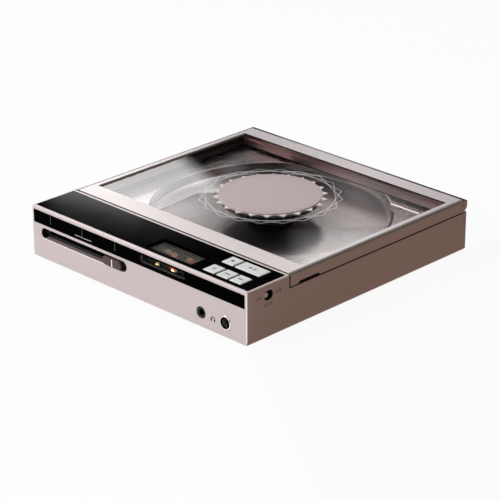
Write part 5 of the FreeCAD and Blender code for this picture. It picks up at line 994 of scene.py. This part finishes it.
# Cards at the rear left, which the lid's glass and the deck mirror, in millimetres
DROP_AZIMUTH = 134.0
BOX_AZIMUTH = 138.0
BOX_DISTANCE = 600
DROP_SIDE = facing(DROP_AZIMUTH)[1]
BOX_SIDE = facing(BOX_AZIMUTH)[1]
BOX_SLANT = BOX_SIDE - 1.2 * UP
GREY_DROP = fading_card("grey_backdrop", DROP_SIDE, ((48, 0.0), (86, 0.54)), DROP_SIDE, (76, 186))
HIGH_DROP = fading_card("high_backdrop", UP, ((296, 0.0), (346, 3.2)), -BOX_SIDE, (-92, -60))
MID_DROP = fading_card("mid_backdrop", BOX_SIDE, ((-20, 1.1), (22, 0.2)), UP, (280, 298))
WHITE_BOX = fading_card("white_softbox", BOX_SIDE, ((-80, 3.7), (-10, 2.9)), BOX_SLANT, (-314, -288))
BOX_OUTLINE = [(-125, 205), (45, 205), (45, 265), (-6, 265), (-33, 277), (-58, 283), (-125, 264)]
upright_card("rear_left_backdrop", DROP_AZIMUTH, 680, rectangle(-230, 0, 420, 720), GREY_DROP)
upright_card("rear_left_softbox", BOX_AZIMUTH, BOX_DISTANCE, BOX_OUTLINE, WHITE_BOX)
upright_card("mid_backdrop", BOX_AZIMUTH, BOX_DISTANCE + 2, rectangle(-40, 250, 25, 300), MID_DROP)
upright_card("low_softbox", BOX_AZIMUTH, BOX_DISTANCE, rectangle(-150, 60, -55, 200), LOW_BOX)
upright_card("high_softbox", BOX_AZIMUTH, BOX_DISTANCE, rectangle(-160, 375, 45, 600), HIGH_BOX)
upright_card("high_backdrop", BOX_AZIMUTH, BOX_DISTANCE, rectangle(45, 298, 150, 600), HIGH_DROP)

# Cards on the floor and overhead, and upright ones round the player
CARD_LEVEL = 1
CEILING = 900
FLOOR_CORNERS = ((-76, 79.5), (76, 79.5), (400, 700), (-700, 700), (-700, -60), (-76, -60))
RIGHT_CORNERS = ((75.2, -79), (600, -420), (900, -420), (900, 900), (75.2, 900))
FLAG_OUTLINE = rectangle(-330, 60, 330, 560)
card("rear_floor_card", [(x, y, CARD_LEVEL) for x, y in FLOOR_CORNERS], DIM_CARD)
card("ceiling_flag", [(x, y, CEILING) for x, y in rectangle(-150, -900, 900, 150)], BLACK_FLAG)
upright_card("edge_softbox", -148.0, 900, rectangle(-220, 620, 220, 980), EDGE_BOX)
upright_card("rear_high_flag", 112.0, 800, rectangle(-260, 620, 260, 1150), DARK_CARD)
for azimuth, material in ((-150, DUSKY_FLAG), (-110, BLACK_FLAG), (-70, BLACK_FLAG), (-30, BLACK_FLAG)):
    upright_card(f"front_flag_{-azimuth}", azimuth, 900, FLAG_OUTLINE, material)
# These two also light matt surfaces
for brown in (
        card("right_card", [(x, y, CARD_LEVEL) for x, y in RIGHT_CORNERS], BROWN_CARD),
        upright_card("right_backdrop", 45.0, 800, rectangle(-700, 0, 700, 700), DARK_CARD)):
    brown.visible_diffuse = True


# The photograph's view

VIEW_AZIMUTH = math.radians(44.598)
VIEW_ELEVATION = math.radians(23.662)
VIEW_ROLL = math.radians(-0.068)
VIEW_FROM = Vector((694.28, -704.32, 434.91)) * MM
PICTURE_SIDE = 500
FOCAL_PIXELS = 2145.97
SENSOR = 36.0

camera_data = bpy.data.cameras.new("camera")
camera_data.sensor_width = SENSOR
camera_data.lens = FOCAL_PIXELS / PICTURE_SIDE * SENSOR
camera = bpy.data.objects.new("camera", camera_data)
turn = Matrix.Rotation(VIEW_AZIMUTH, 4, "Z") @ Matrix.Rotation(math.pi / 2 - VIEW_ELEVATION, 4, "X")
camera.matrix_world = Matrix.Translation(VIEW_FROM) @ turn @ Matrix.Rotation(VIEW_ROLL, 4, "Z")
bpy.context.scene.collection.objects.link(camera)
bpy.context.scene.camera = camera
bpy.context.scene.view_settings.view_transform = "Standard"
